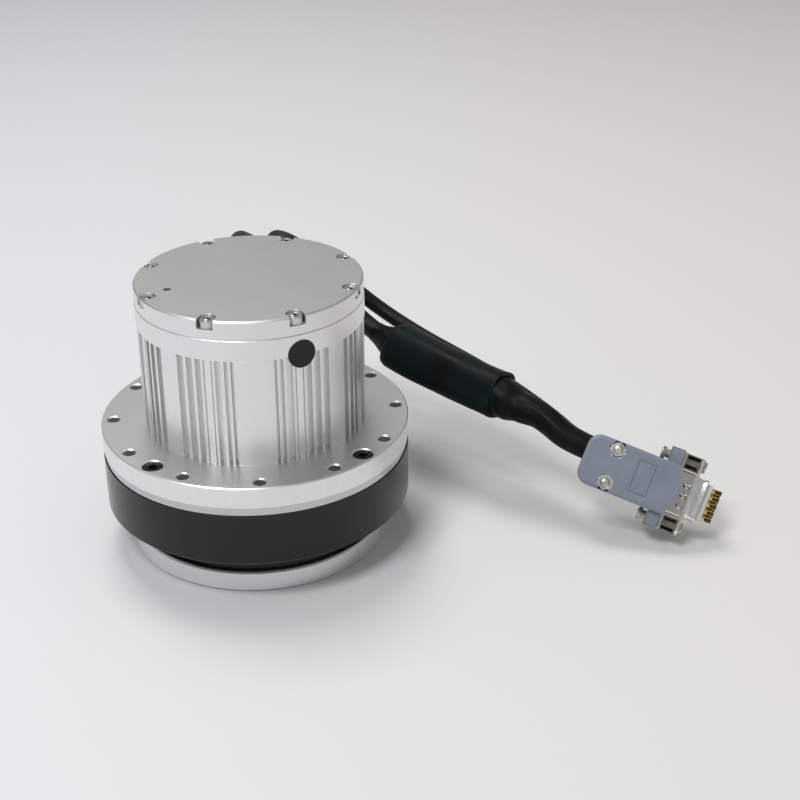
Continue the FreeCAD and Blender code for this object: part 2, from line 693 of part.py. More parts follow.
def make_drive_housing():
    spigot_low = fins_top - spigot_height
    shield_top = fins_top - spigot_height + shield_thickness
    boss_low = spigot_low - 5.4
    boss_top = boss_low + bearing_width + 1.0
    boss_rim = bearing_outer + boss_wall
    body = turned("drive_housing_blank", [
        (bearing_outer, boss_low), (boss_rim, boss_low), (boss_rim, spigot_low),
        (motor_bore + spigot_step - fit, spigot_low), (motor_bore + spigot_step - fit, fins_top),
        (band_radius - 0.15, fins_top), (band_radius, fins_top + 0.15),
        (band_radius, band_top - 0.15), (band_radius - 0.15, band_top), (band_bore, band_top),
        (band_bore, shield_top), (boss_rim, shield_top), (boss_rim, boss_top),
        (bearing_outer - boss_wall, boss_top), (bearing_outer - boss_wall, boss_top - 1.0),
        (bearing_outer, boss_top - 1.0)], keep=False)
    drill(body, "band_screw_holes", 1.65, cover_circle, band_top, band_height, cover_screw_count,
          start=22.5)
    holes = feature("band_outlets", outlet_cuts(), keep=False)
    boolean("Cut", "drive_housing", body, holes)
    return shield_top, boss_low, boss_top


def make_cover():
    ceiling = cover_face - cover_top
    body = turned("rear_cover_blank", [
        (Size(0, "0"), ceiling), (band_bore, ceiling), (band_bore, band_top),
        (cover_radius - 0.2, band_top), (cover_radius, band_top + 0.2),
        (cover_radius, cover_face - 0.6), (cover_radius - 0.6, cover_face),
        (Size(0, "0"), cover_face)], keep=False)
    drill(body, "cover_screw_holes", 1.65, cover_circle, cover_face, cover_height,
          cover_screw_count, start=22.5)
    drill(body, "notch_seats", notch_radius, cover_circle, cover_face, notch_depth,
          cover_screw_count, start=22.5)
    turn = math.radians(22.5)
    slot = []
    for reach, side in ((cover_circle, -1), (cover_radius + 1.0, -1), (cover_radius + 1.0, 1),
                        (cover_circle, 1)):
        across = reach * math.cos(turn) - notch_radius * (side * math.sin(turn))
        up = reach * math.sin(turn) + notch_radius * (side * math.cos(turn))
        slot.append((across, up))
    mill(body, "notch_mouths", [slot], cover_face, notch_depth, cover_screw_count)
    drill(body, "status_light_hole", light_hole, light_circle, cover_face, cover_top + 1.0,
          start=-162.0)
    holes = feature("cover_outlets", outlet_cuts(), keep=False)
    boolean("Cut", "rear_cover", body, holes)

    screw = socket_screw(1.5, 20.0, 2.75, 3.0, 2.5)
    screw.translate(Vector(float(cover_circle), 0, float(cover_face - notch_depth)))
    feature("cover_screws", around(screw, cover_screw_count, 22.5))

    shell = ring(band_radius + 0.17, band_radius + 0.02, fins_top - 10, fins_top + 10)
    start = Vector(float(band_radius) - 10, 0, float(fins_top) + 0.7)
    punch = Part.makeCylinder(float(label_radius), 20.0, start, Vector(1, 0, 0))
    feature("inspection_label", spun(shell.common(punch), -66.2))


def make_electronics(shield_top, boss_top):
    """Ring-shaped drive board round the bearing boss, encoder board over the shaft's end."""
    board_low = float(shield_top) + 2.0
    board_rim = float(band_bore - board_gap)
    board_hole = float(bearing_outer + boss_wall) + 1.0
    pillar_circle = board_rim - 2.5
    feature("drive_board", ring(board_rim, board_hole, board_low, board_low + 1.6))
    encoder_low = float(boss_top) + 4.4
    encoder_rim = float(bearing_outer) + 2.0
    encoder_circle = encoder_rim - 2.5
    pillars = [pillar(a, pillar_circle, 2.2, shield_top, board_low) for a in (0, 120, 240)]
    pillars += [pillar(a, encoder_circle, 1.8, boss_top, encoder_low) for a in (60, 180, 300)]
    feature("board_standoffs", Part.makeCompound(pillars))
    feature("encoder_board", round_bar(encoder_rim, encoder_low, encoder_low + 1.2))
    head = Part.makeBox(6.0, 6.0, 1.1, Vector(-3, -3, encoder_low - 1.1))
    feature("encoder_read_head", head)
    top = board_low + 1.6
    middle = (board_rim + board_hole) / 2
    chips = []
    for index in range(6):
        chip = Part.makeBox(6.0, 5.0, 1.2, Vector(middle - 3.25, -2.5, top))
        chips.append(spun(chip, 195 + 30 * index))
    for angle in (20, 38, 142, 160):
        can = Part.makeCylinder(3.1, 5.4, Vector(middle - 0.25, 0, top))
        chips.append(spun(can, angle))
    side = board_rim - board_hole - 4.5
    chips.append(spun(Part.makeBox(side, side, 1.4, Vector(board_hole + 1.7, -side / 2, top)), 90))
    feature("drive_components", Part.makeCompound(chips))
    screws = [board_screw(a, pillar_circle, top) for a in (0, 120, 240)]
    screws += [board_screw(a, encoder_circle, encoder_low + 1.2) for a in (60, 180, 300)]
    feature("board_screws", Part.makeCompound(screws))


def pillar(angle, reach, radius, low, high):
    post = round_bar(radius, low, high)
    post.translate(Vector(reach, 0, 0))
    return spun(post, angle)


def board_screw(angle, reach, level):
    head = round_bar(1.6, 0, 1.0).cut(hex_prism(1.3, 0.4, 2.0))
    head.translate(Vector(reach, 0, level))
    return spun(head, angle)


def make_grommets():
    """Moulded outlets, clamped between the drive housing and the cover."""
    pieces = []
    seat = float(band_radius - outlet_start) + 0.8
    for offset, heading, radius in OUTLETS:
        lead = float(radius)
        sleeve = Part.makeCylinder(lead + float(outlet_wall) - 0.05, seat + 0.6, Vector(0, 0, -0.6))
        collar = Part.makeCylinder(lead + 1.7, 2.0, Vector(0, 0, seat))
        taper = Part.makeCone(lead + 1.4, lead + 0.7, 3.2, Vector(0, 0, seat + 2.0))
        bore = Part.makeCylinder(lead + 0.05, 20.0, Vector(0, 0, -2.0))
        piece = sleeve.fuse([collar, taper]).cut(bore).removeSplitter()
        pieces.append(moved(piece, outlet_place(offset, heading)))
    feature("cable_grommets", Part.makeCompound(pieces))


# ---------------------------------------------------------------- motor and rotor

def make_bearings(front_low, rear_low):
    """Two deep-groove ball bearings: outer rings in the housings, the rest turns with the shaft."""
    circle = float(journal_radius + bearing_outer) / 2
    groove = float(bearing_ball + ball_play)
    outer, inner, balls = [], [], []
    for low in (float(front_low), float(rear_low)):
        middle = low + float(bearing_width) / 2
        race = Part.makeTorus(circle, groove, Vector(0, 0, middle))
        outer.append(ring(bearing_outer - fit, circle + 1.6, low, low + float(bearing_width)).cut(race))
        inner.append(ring(circle - 1.6, journal_radius + fit, low, low + float(bearing_width)).cut(race))
        ball = Part.makeSphere(float(bearing_ball), Vector(circle, 0, middle))
        count = int(float(bearing_ball_count))
        balls += [spun(ball, 360.0 * index / count) for index in range(count)]
    feature("shaft_bearing_outer_rings", Part.makeCompound(outer))
    feature("shaft_bearing_inner_rings", Part.makeCompound(inner))
    feature("shaft_bearing_balls", Part.makeCompound(balls))


def make_motor(front_low, rear_low, boss_top):
    stack_low = floor_top + 5.0
    stack_top = stack_low + stack_length
    shoe = 1.1
    core = ring(motor_bore - fit, motor_bore - yoke, stack_low, stack_top)
    teeth = []
    count = int(float(slot_count))
    length = float(stack_length)
    for index in range(count):
        stem = Part.makeBox(float(motor_bore) - 19.0, float(tooth_breadth), length,
                            Vector(18.0, -float(tooth_breadth) / 2, float(stack_low)))
        foot = Part.makeBox(float(stator_bore) + shoe - 17.0, 9.0, length,
                            Vector(17.0, -4.5, float(stack_low)))
        teeth += [spun(stem, 360.0 * index / count), spun(foot, 360.0 * index / count)]
    core = core.fuse(teeth).cut(round_bar(stator_bore, 0, 200)).removeSplitter()
    feature("stator_core", core)

    inside = float(stator_bore) + shoe + 0.3
    outside = float(motor_bore - yoke) - 1.2
    breadth = float(tooth_breadth)
    side = float(coil_side)
    coil = Part.makeBox(outside - inside, breadth + 0.2 + 2 * side, length + 5.2,
                        Vector(inside, -breadth / 2 - 0.1 - side, float(stack_low) - 2.6))
    window = Part.makeBox(outside, breadth + 0.2, length + 0.2,
                          Vector(inside - 1, -breadth / 2 - 0.1, float(stack_low) - 0.1))
    edges = [edge for edge in coil.Edges if abs(edge.BoundBox.XLength - (outside - inside)) < 1e-6]
    coil = coil.makeFillet(1.6, edges).cut(window)
    feature("stator_windings", around(coil, slot_count))

    rotor_radius = stator_bore - air_gap - magnet_thickness
    turned("rotor_core", [
        (rotor_seat + fit, stack_low), (rotor_radius, stack_low), (rotor_radius, stack_top),
        (rotor_seat + fit, stack_top)])
    poles = int(float(pole_count))
    magnet = ring(rotor_radius + magnet_thickness, rotor_radius + 0.02, stack_low, stack_top)
    reach = 30.0
    half = math.radians(0.45 * 360.0 / poles)
    wedge = Part.Face(Part.makePolygon([
        Vector(0, 0, 0), Vector(reach * math.cos(half), -reach * math.sin(half), 0),
        Vector(reach * math.cos(half), reach * math.sin(half), 0), Vector(0, 0, 0)]))
    wedge = wedge.extrude(Vector(0, 0, 200))
    feature("rotor_magnets", around(magnet.common(wedge), poles))

    plug_low = spline_top - 1.0 - wave_width
    shaft = turned("rotor_shaft", [
        (Size(0, "0"), plug_low + 0.4), (gear_end_radius, plug_low + 0.4),
        (gear_end_radius, spline_top - 0.9), (journal_radius, spline_top - 0.9),
        (journal_radius, front_low + bearing_width), (rotor_seat, front_low + bearing_width),
        (rotor_seat, rear_low), (journal_radius, rear_low), (journal_radius, boss_top + 0.6),
        (Size(0, "0"), boss_top + 0.6)])
    drill(shaft, "plug_screw_thread", 2.0, Size(0, "0"), plug_low + 0.4, 12.0, upward=True)
    turned("encoder_magnet", [
        (Size(0, "0"), boss_top + 0.6), (encoder_magnet_radius, boss_top + 0.6),
        (encoder_magnet_radius, boss_top + 2.6), (Size(0, "0"), boss_top + 2.6)])
    return plug_low


def make_wave_generator(low):
    """Wave generator plug and its thin bearing, drawn round, as before it is sprung into the cup."""
    high = low + wave_width
    middle = float(low) + float(wave_width) / 2
    plug = turned("wave_generator_plug", [
        (gear_end_radius + fit, low), (wave_plug_radius - 8.0, low), (wave_plug_radius - 7.0, low + 2.0),
        (wave_plug_radius - 3.0, low + 2.0), (wave_plug_radius - 2.0, low), (wave_plug_radius, low),
        (wave_plug_radius, high), (gear_end_radius + fit, high)])
    drill(plug, "lightening_holes", 2.2, 11.5, high, wave_width, 6, start=30.0)
    circle = float(wave_ball_circle)
    race = Part.makeTorus(circle, float(wave_ball + ball_play), Vector(0, 0, middle))
    inner = wave_plug_radius + 0.05
    feature("wave_inner_race", ring(inner + wave_race, inner, low, high).cut(race))
    feature("wave_outer_race", ring(wave_outer, wave_outer - wave_race, low, high).cut(race))
    ball = Part.makeSphere(float(wave_ball), Vector(circle, 0, middle))
    feature("wave_balls", around(ball, wave_ball_count))
    screw = socket_screw(1.98, 11.0, 3.5, 3.0, 3.0)
    washer = ring(9.0, 2.1, -1.2, 0)
    screw = screw.fuse(washer)
    screw.rotate(Vector(0, 0, 0), Vector(1, 0, 0), 180)
    screw.translate(Vector(0, 0, float(low) - 1.2))
    feature("wave_plug_screw", screw.removeSplitter())


# ---------------------------------------------------------------- leads

POWER_ROUTE = [
    (-3.5, 36.0, 96.2), (-3.5, 56.1, 96.2), (-0.6, 70.1, 89.7), (7.6, 80.2, 80.7),
    (21.6, 84.8, 69.8), (36.5, 79.5, 60.0), (51.0, 65.5, 49.0), (64.5, 49.5, 45.6),
    (78.0, 33.5, 44.2), (91.0, 19.0, 42.6), (102.5, 7.0, 41.9), (111.6, -1.8, 40.0),
    (119.25, -10.94, 33.63), (131.5, -16.55, 29.95)]
SIGNAL_ROUTE = [
    (8.0, 36.0, 96.2), (10.0, 56.8, 96.2), (14.8, 69.3, 91.0), (23.5, 77.8, 82.4),
    (35.5, 81.8, 70.8), (48.5, 80.0, 58.8), (60.0, 73.5, 51.4), (73.0, 61.5, 46.3),
    (87.3, 46.0, 43.0), (99.8, 29.8, 40.5), (109.0, 14.6, 38.4), (116.8, 3.4, 35.4),
    (123.1, -4.83, 31.43), (134.05, -9.85, 28.15)]


def route_edges(points, name):
    """Straight runs joined by tangent arcs through a hand-laid route."""
    spots = [Vector(*point) for point in points]
    edges = []
    radii = []
    start = spots[0]
    for index in range(1, len(spots) - 1):
        back = spots[index - 1] - spots[index]
        ahead = spots[index + 1] - spots[index]
        shorter = min(back.Length, ahead.Length)
        turn = math.pi - back.getAngle(ahead)
        radius = 0.45 * shorter / math.tan(turn / 2)
        radii.append(radius)
        entry = spots[index] + back.normalize() * (0.45 * shorter)
        leave = spots[index] + ahead.normalize() * (0.45 * shorter)
        bisector = (back + ahead).normalize()
        centre = spots[index] + bisector * (radius / math.cos(turn / 2))
        top = centre - bisector * radius
        edges.append(Part.LineSegment(start, entry).toShape())
        edges.append(Part.Arc(entry, top, leave).toShape())
        start = leave
    edges.append(Part.LineSegment(start, spots[-1]).toShape())
    print(name, "bend radii", " ".join("%.0f" % radius for radius in radii))
    return edges


def lead_tube(edges, radius, name):
    tube = swept(edges, radius)
    length = sum(edge.Length for edge in edges)
    expected = math.pi * float(radius) ** 2 * length
    if abs(tube.Volume / expected - 1) > 0.01:
        raise RuntimeError("%s tube has volume %g, not %g" % (name, tube.Volume, expected))
    print(name, "length %.1f" % length)
    return tube


def swept(edges, radius):
    """A round bar along a stretch of a route."""
    path = Part.Wire(edges)
    first = edges[0]
    start = first.valueAt(first.FirstParameter)
    direction = first.tangentAt(first.FirstParameter)
    section = Part.Wire(Part.makeCircle(float(radius), start, direction))
    return path.makePipeShell([section], True, True)


def stretch(edges, start, stop):
    """The part of a route between two distances along it."""
    kept = []
    along = 0.0
    for edge in edges:
        low, high = max(start - along, 0.0), min(stop - along, edge.Length)
        if high - low > 1e-6:
            first, last = edge.getParameterByLength(low), edge.getParameterByLength(high)
            kept.append(edge.Curve.toShape(first, last))
        along += edge.Length
    return kept


def make_leads():
    power = route_edges(POWER_ROUTE, "power lead")
    signal = route_edges(SIGNAL_ROUTE, "signal lead")
    feature("power_lead", lead_tube(power, power_lead_radius, "power lead"))
    feature("signal_lead", lead_tube(signal, signal_lead_radius, "signal lead"))
    start = float(sleeve_start)
    stop = start + float(sleeve_length)
    neck, tail = float(sleeve_neck), float(sleeve_tail)
    inner = swept(stretch(power, start - neck, stop + tail), inner_sleeve_radius)
    inner = inner.cut(swept(stretch(power, start - neck - 1, stop + tail + 1), power_lead_radius + 0.05))
    feature("inner_sleeve", inner)
    outer = swept(stretch(power, start, stop), sleeve_radius)
    outer = outer.cut(swept(stretch(power, start - 1, stop + 1), inner_sleeve_radius + 0.05))
    feature("splice_sleeve", outer)


# ---------------------------------------------------------------- plug and mated socket

PLUG_PLACE = Placement(Vector(163.8, -30.3, 16.05), Rotation(-24.6, 15.2, 58.8))
HOOD_FRONT = -9.4         # the hood's front face, along the plug's axis
SOCKET_REAR = -2.7        # the socket flange's rear face
EAR_LENGTH = 4.4          # length of a hood ear between its clip's two plates
CLIP = 0.55               # thickness of an ear clip's sheet
HOOD_BOLT = (-33.4, 6.8)  # place of the hood's two screws, along and across
NUT_FLATS = 5.0           # width of a hood nut across its flats
NUT_HEIGHT = 2.4
NUT_SUNK = 0.45           # how far a hood nut stands below the hood's face
CUP_RADIUS = 1.05         # outside radius of a solder cup
POWER_SEAT = (3.2, 3.0)    # where each lead enters the hood, across and up in the plug's frame
SIGNAL_SEAT = (5.3, -4.1)
PIN_PITCH = 2.77
ROW = 1.42


def d_section(half_width, half_height, x, slope=0.176):
    """A rounded D outline across the plug's axis, wide side towards +Z."""
    lean = half_height * slope
    corners = [(-half_width - lean, half_height), (half_width + lean, half_height),
               (half_width - lean, -half_height), (-half_width + lean, -half_height)]
    wire = Part.makePolygon([Vector(x, y, z) for y, z in corners + corners[:1]])
    return Part.Face(wire)


def d_prism(half_width, half_height, x0, x1, corner=1.6):
    solid = d_section(half_width, half_height, x0).extrude(Vector(x1 - x0, 0, 0))
    edges = [edge for edge in solid.Edges if abs(edge.BoundBox.XLength - abs(x1 - x0)) < 1e-6
             and edge.BoundBox.YLength < 1e-6]
    return solid.makeFillet(corner, edges)


def block(x0, x1, y0, y1, z0, z1):
    return Part.makeBox(x1 - x0, y1 - y0, z1 - z0, Vector(x0, y0, z0))


def bar(radius, x0, x1, y, z):
    return Part.makeCylinder(radius, x1 - x0, Vector(x0, y, z), Vector(1, 0, 0))


def contact_spots():
    upper = [(PIN_PITCH * (k - 2), ROW) for k in range(5)]
    return upper + [(PIN_PITCH * (k - 1.5), -ROW) for k in range(4)]


def plug_node(label, shape):
    feature(label, shape, PLUG_PLACE)


def rounded_plate(x0, x1, half_y, half_z, corner):
    plate = block(x0, x1, -half_y, half_y, -half_z, half_z)
    edges = [edge for edge in plate.Edges if abs(edge.BoundBox.XLength - (x1 - x0)) < 1e-6]
    return plate.makeFillet(corner, edges)


def hood_solid(grow):
    """The hood's outside, or its hollow where grow is minus the wall."""
    rear = HOOD_FRONT - float(hood_length)
    half_width = float(hood_half_width) + grow
    half_depth = float(hood_half_depth) + grow
    body = block(rear - grow, HOOD_FRONT, -half_width, half_width, -half_depth, half_depth)
    corner = 5.0 + grow
    upright = [edge for edge in body.Edges
               if edge.BoundBox.ZLength > half_depth and edge.CenterOfMass.x < rear + 3]
    return body.makeFillet(corner, upright)


def hood_lips():
    """Lips that reach forward over the plug's shell, above and below its flange."""
    deep = float(hood_half_depth)
    lips = []
    for low, high in ((float(dsub_half_height) + 0.15, deep), (-deep, -float(dsub_half_height) - 0.15)):
        lip = block(HOOD_FRONT - 2.0, HOOD_FRONT + 2.9, -5.6, 5.6, low, high)
        tips = [edge for edge in lip.Edges
                if edge.BoundBox.ZLength > 1.0 and edge.CenterOfMass.x > HOOD_FRONT + 2.0]
        lips.append(lip.makeFillet(1.4, tips))
    return lips


def make_hood():
    rear = HOOD_FRONT - float(hood_length)
    wall = float(hood_wall)
    deep = float(hood_half_depth)
    ear_front = HOOD_FRONT - CLIP
    outside = hood_solid(0.0)
    rims = [edge for edge in outside.Edges if abs(abs(edge.CenterOfMass.z) - deep) < 1e-6
            and edge.CenterOfMass.x < HOOD_FRONT - 0.1]
    outside = outside.makeFillet(1.4, rims)
    ears = block(ear_front - EAR_LENGTH, ear_front, -15.4, 15.4, -5.6, 5.6)
    ear_edges = [edge for edge in ears.Edges if abs(edge.BoundBox.XLength - EAR_LENGTH) < 1e-6]
    hood = outside.fuse(ears.makeFillet(1.2, ear_edges))
    hollow = hood_solid(-wall)
    hood = hood.cut(hollow.cut(block(HOOD_FRONT - 2.4, HOOD_FRONT + 1, -20, 20, -20, 20)))
    hood = hood.cut(block(HOOD_FRONT - 3.4, HOOD_FRONT + 1, -9.0, 9.0, -5.4, 5.4))
    hood = hood.fuse(hood_lips()).removeSplitter()
    for radius, (y, z) in ((power_lead_radius, POWER_SEAT), (signal_lead_radius, SIGNAL_SEAT)):
        hood = hood.cut(bar(float(radius) + 0.3, rear - 5, rear + 6, y, z))
    bolt, spread = HOOD_BOLT
    for side in (-1, 1):
        hood = hood.cut(bar(1.6, HOOD_FRONT - 9, HOOD_FRONT + 1, side * float(jack_spacing), 0))
        clear = Part.makeCylinder(1.65, 30, Vector(bolt, side * spread, -15))
        nut_floor = deep - NUT_SUNK - NUT_HEIGHT - 0.05
        post = Part.makeCylinder(2.6, nut_floor + deep + 0.3, Vector(bolt, side * spread, -deep + 1.1))
        hood = hood.cut(clear).fuse(post.common(hood_solid(-0.5))).cut(clear)
        nut_pocket = hex_prism(NUT_FLATS + 0.9, nut_floor, 20, (bolt, side * spread))
        head_pocket = Part.makeCylinder(3.1, 10, Vector(bolt, side * spread, -deep - 7.8))
        hood = hood.cut(nut_pocket).cut(head_pocket)
    frame = block(-24.5, -17.5, -6.4, 6.4, deep - 0.25, 20)
    inner = block(-24.1, -17.9, -6.0, 6.0, 0, 21)
    hood = hood.cut(frame.cut(inner))
    front_half = hood.common(block(-80, 20, -30, 30, 0.03, 30))
    back_half = hood.common(block(-80, 20, -30, 30, -30, -0.03))
    plug_node("hood_front_shell", biggest(front_half))
    plug_node("hood_back_shell", biggest(back_half))


def biggest(shape):
    return max(shape.Solids, key=lambda solid: solid.Volume)


def make_hood_fasteners():
    depth = float(hood_half_depth)
    bolt, spread = HOOD_BOLT
    screws, nuts = [], []
    for side in (-1, 1):
        head = Part.makeCylinder(2.75, 1.6, Vector(0, 0, -1.6))
        cross = block(-1.6, 1.6, -0.3, 0.3, -3, -0.9).fuse(block(-0.3, 0.3, -1.6, 1.6, -3, -0.9))
        shank = Part.makeCylinder(1.5, 2 * depth - NUT_SUNK - 1.95, Vector(0, 0, 0))
        screw = head.fuse(shank).cut(cross).removeSplitter()
        screw.translate(Vector(bolt, side * spread, -depth + 2.2))
        screws.append(screw)
        nut_top = depth - NUT_SUNK
        nut = hex_prism(NUT_FLATS, nut_top - NUT_HEIGHT, nut_top, (bolt, side * spread))
        nuts.append(nut.cut(Part.makeCylinder(1.53, 30, Vector(bolt, side * spread, -15))))
    plug_node("hood_screws", Part.makeCompound(screws))
    plug_node("hood_nuts", Part.makeCompound(nuts))


def mirrored(side, near, far):
    """A span across the plug's axis on one side of it, in rising order."""
    return (near, far) if side > 0 else (-far, -near)


def make_clips_and_brackets():
    jack = float(jack_spacing)
    ear_rear = HOOD_FRONT - CLIP - EAR_LENGTH
    sheet_wall = 0.5
    clips, brackets, rivets = [], [], []
    for side in (-1, 1):
        low, high = mirrored(side, jack - 2.1, 15.95)
        edge_low, edge_high = mirrored(side, 15.45, 15.95)
        rear_plate = block(ear_rear - CLIP - 0.05, ear_rear - 0.05, low, high, -4.2, 4.2)
        front_plate = block(HOOD_FRONT - CLIP + 0.02, HOOD_FRONT - 0.05, low, high, -4.2, 4.2)
        web = block(ear_rear - CLIP - 0.05, HOOD_FRONT - 0.05, edge_low, edge_high, -4.2, 4.2)
        clip = rear_plate.fuse([front_plate, web])
        clips.append(clip.cut(bar(1.6, -20, 0, side * jack, 0)).removeSplitter())
        x0, x1 = HOOD_FRONT + 0.85, SOCKET_REAR - 0.05
        low, high = mirrored(side, jack - 3.2, jack + 2.8)
        inner_low, inner_high = mirrored(side, jack - 3.2 + sheet_wall, jack + 2.8 - sheet_wall)
        bracket = block(x0, x1, low, high, -3.4, 3.4)
        hollow = block(x0 + sheet_wall, x1 - sheet_wall, inner_low, inner_high, -3.4 + sheet_wall, 9)
        bracket = bracket.cut(hollow).fuse(bar(2.2, x0, x1, side * jack, 0))
        brackets.append(bracket.cut(bar(1.44, x0 - 1, x1 + 1, side * jack, 0)).removeSplitter())
        face = SOCKET_REAR + 1.0
        dome = Part.makeSphere(2.6, Vector(face - 0.1, side * jack, 0))
        dome = dome.common(block(face, face + 1.5, side * jack - 2.3, side * jack + 2.3, -2.3, 2.3))
        slot = block(face + 0.8, face + 2.5, side * jack - 3, side * jack + 3, -0.35, 0.35)
        shank = bar(1.35, SOCKET_REAR - 0.05, face + 0.1, side * jack, 0)
        rivets.append(dome.cut(slot).fuse(shank).removeSplitter())
    plug_node("ear_clips", Part.makeCompound(clips))
    plug_node("bracket_standoffs", Part.makeCompound(brackets))
    plug_node("bracket_screws", Part.makeCompound(rivets))


def make_jackscrews():
    seat = HOOD_FRONT - 2 * CLIP - EAR_LENGTH - 0.1
    for name, side in (("upper_jackscrew", 1), ("lower_jackscrew", -1)):
        y = side * float(jack_spacing)
        head = bar(2.35, seat - 3.1, seat - 1.3, y, 0).fuse(bar(1.8, seat - 1.3, seat, y, 0))
        slot = block(seat - 3.6, seat - 2.1, y - 3, y + 3, -0.4, 0.4)
        shank = bar(1.34, seat - 0.1, SOCKET_REAR - 0.6, y, 0)
        plug_node(name, head.cut(slot).fuse(shank).removeSplitter())


def shell_dimples(top):
    """Three dimples pressed out of the broad side of the plug's shell."""
    dimples = []
    for y in (-4.6, -0.6, 3.4):
        base = Part.makePolygon([Vector(-5.7, y - 0.9, top), Vector(-3.4, y - 0.9, top),
                                 Vector(-3.4, y + 0.9, top), Vector(-5.7, y + 0.9, top),
                                 Vector(-5.7, y - 0.9, top)])
        crown = Part.makePolygon([Vector(-4.9, y - 0.5, top + 0.55), Vector(-4.3, y - 0.5, top + 0.55),
                                  Vector(-4.3, y + 0.5, top + 0.55), Vector(-4.9, y + 0.5, top + 0.55),
                                  Vector(-4.9, y - 0.5, top + 0.55)])
        dimples.append(Part.makeLoft([base, crown], True, True))
    return dimples


def make_plug_and_socket():
    half_long = float(dsub_half_length)
    half_high = float(dsub_half_height)
    jack = float(jack_spacing)
    plate0, plate1 = HOOD_FRONT + 0.02, HOOD_FRONT + 0.8
    plate = rounded_plate(plate0, plate1, half_long, half_high, 1.0)
    can_end = SOCKET_REAR - 0.2
    can = d_prism(8.45, 4.2, plate0, can_end).fuse(shell_dimples(4.15))
    shell = plate.fuse(can).cut(d_prism(8.1, 3.85, plate0 - 1, can_end + 1, 1.4))
    for side in (-1, 1):
        shell = shell.cut(bar(1.6, plate0 - 1, plate1 + 1, side * jack, 0))
    plug_node("plug_shell", biggest(shell.removeSplitter()))

    body = d_prism(7.95, 3.7, HOOD_FRONT - 3.2, HOOD_FRONT + 1.2, 1.2)
    for y, z in contact_spots():
        body = body.cut(bar(0.56, HOOD_FRONT - 5, HOOD_FRONT + 3, y, z))
    plug_node("plug_insulator", body)
    pins = [bar(0.5, HOOD_FRONT - 7.5, -3.1, y, z) for y, z in contact_spots()]
    plug_node("plug_pins", Part.makeCompound(pins))

    face = SOCKET_REAR + 1.0
    flange = rounded_plate(SOCKET_REAR, face, half_long, half_high, 2.4)
    nose = d_prism(7.85, 3.6, HOOD_FRONT + 1.4, SOCKET_REAR, 1.3)
    back = d_prism(7.7, 4.9, face, face + 4.2, 2.0)
    fold = d_prism(8.1, 5.3, face, face + 0.6, 2.4)
    rim = d_prism(8.05, 5.25, face + 3.6, face + 4.2, 2.35)
    shell = flange.fuse([nose, back, fold, rim])
    shell = shell.cut(d_prism(7.5, 3.25, HOOD_FRONT, face + 0.5, 1.1))
    shell = shell.cut(d_prism(7.3, 4.5, face + 0.4, face + 5.0, 1.6))
    for side in (-1, 1):
        shell = shell.cut(bar(1.4, -5, 2, side * jack, 0))
    plug_node("socket_shell", biggest(shell.removeSplitter()))
    core = d_prism(7.45, 3.2, HOOD_FRONT + 1.5, face + 0.5, 1.0)
    core = core.fuse([d_prism(7.25, 4.45, face + 0.45, face + 3.8, 1.55),
                      d_prism(6.8, 3.9, face + 3.7, face + 6.4, 1.4)])
    for y, z in contact_spots():
        core = core.cut(bar(0.62, HOOD_FRONT, face + 0.5, y, z))
        core = core.cut(bar(CUP_RADIUS + 0.05, face + 0.4, 8, y, z))
    plug_node("socket_insulator", core.removeSplitter())
    cups = []
    for y, z in contact_spots():
        cup = bar(0.58, -2.9, face + 0.5, y, z).fuse(bar(CUP_RADIUS, face + 0.5, 8.7, y, z))
        well = bar(CUP_RADIUS - 0.27, 5.4, 9, y, z)
        mouth = block(6.0, 9, y - 1, y + 1, z + 0.2, z + 2)
        cups.append(cup.cut(well).cut(mouth).removeSplitter())
    plug_node("socket_contacts", Part.makeCompound(cups))


# ---------------------------------------------------------------- make it and write it

def build():
    make_output_flange()
    make_cross_bearing()
    make_flexspline()
    make_gear_case()
    make_circular_spline()
    make_motor_housing()
    shield_top, boss_low, boss_top = make_drive_housing()
    make_cover()
    make_electronics(shield_top, boss_top)
    make_grommets()
    front_low = spline_top + seal_seat_depth
    rear_low = boss_low
    make_bearings(front_low, rear_low)
    plug_low = make_motor(front_low, rear_low, boss_top)
    make_wave_generator(plug_low)
    make_leads()
    make_hood()
    make_hood_fasteners()
    make_clips_and_brackets()
    make_jackscrews()
    make_plug_and_socket()


def check():
    doc.recompute()
    for item in doc.Objects:
        if {"Invalid", "Error"} & set(item.State):
            raise RuntimeError("%s failed: %s" % (item.Label, item.State))
    for node in NODES:
        if node.Shape.isNull() or not node.Shape.isValid() or not node.Shape.Solids:
            raise RuntimeError(node.Label + " has no valid shape")


def write():
    os.makedirs("parts", exist_ok=True)
    for node in NODES:
        node.Shape.exportStep(os.path.join("parts", node.Label + ".step"))
    print(len(NODES), "nodes written")


build()
check()
write()
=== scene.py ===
"""Looks of a strain-wave robot joint actuator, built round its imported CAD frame. Metres, +Z up."""
import math
import random

import bmesh
import bpy
from bpy.props import FloatProperty, FloatVectorProperty, IntProperty, PointerProperty
from mathutils import Matrix, Vector


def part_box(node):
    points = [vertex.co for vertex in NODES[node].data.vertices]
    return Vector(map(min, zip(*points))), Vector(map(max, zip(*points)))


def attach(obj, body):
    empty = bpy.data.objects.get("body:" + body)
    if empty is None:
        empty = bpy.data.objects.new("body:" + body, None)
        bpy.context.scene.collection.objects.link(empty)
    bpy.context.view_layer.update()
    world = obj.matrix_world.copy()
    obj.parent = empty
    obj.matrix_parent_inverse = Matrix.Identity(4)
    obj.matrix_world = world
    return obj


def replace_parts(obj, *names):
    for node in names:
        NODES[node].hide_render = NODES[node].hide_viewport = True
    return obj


bl_info = {
    "name": "Robot Joint Actuator",
    "version": (1, 0, 0),
    "blender": (4, 5, 0),
    "location": "View3D > Sidebar > Actuator",
    "description": "Finishes, screws and leads of a strain-wave joint actuator",
    "category": "Add Mesh",
}

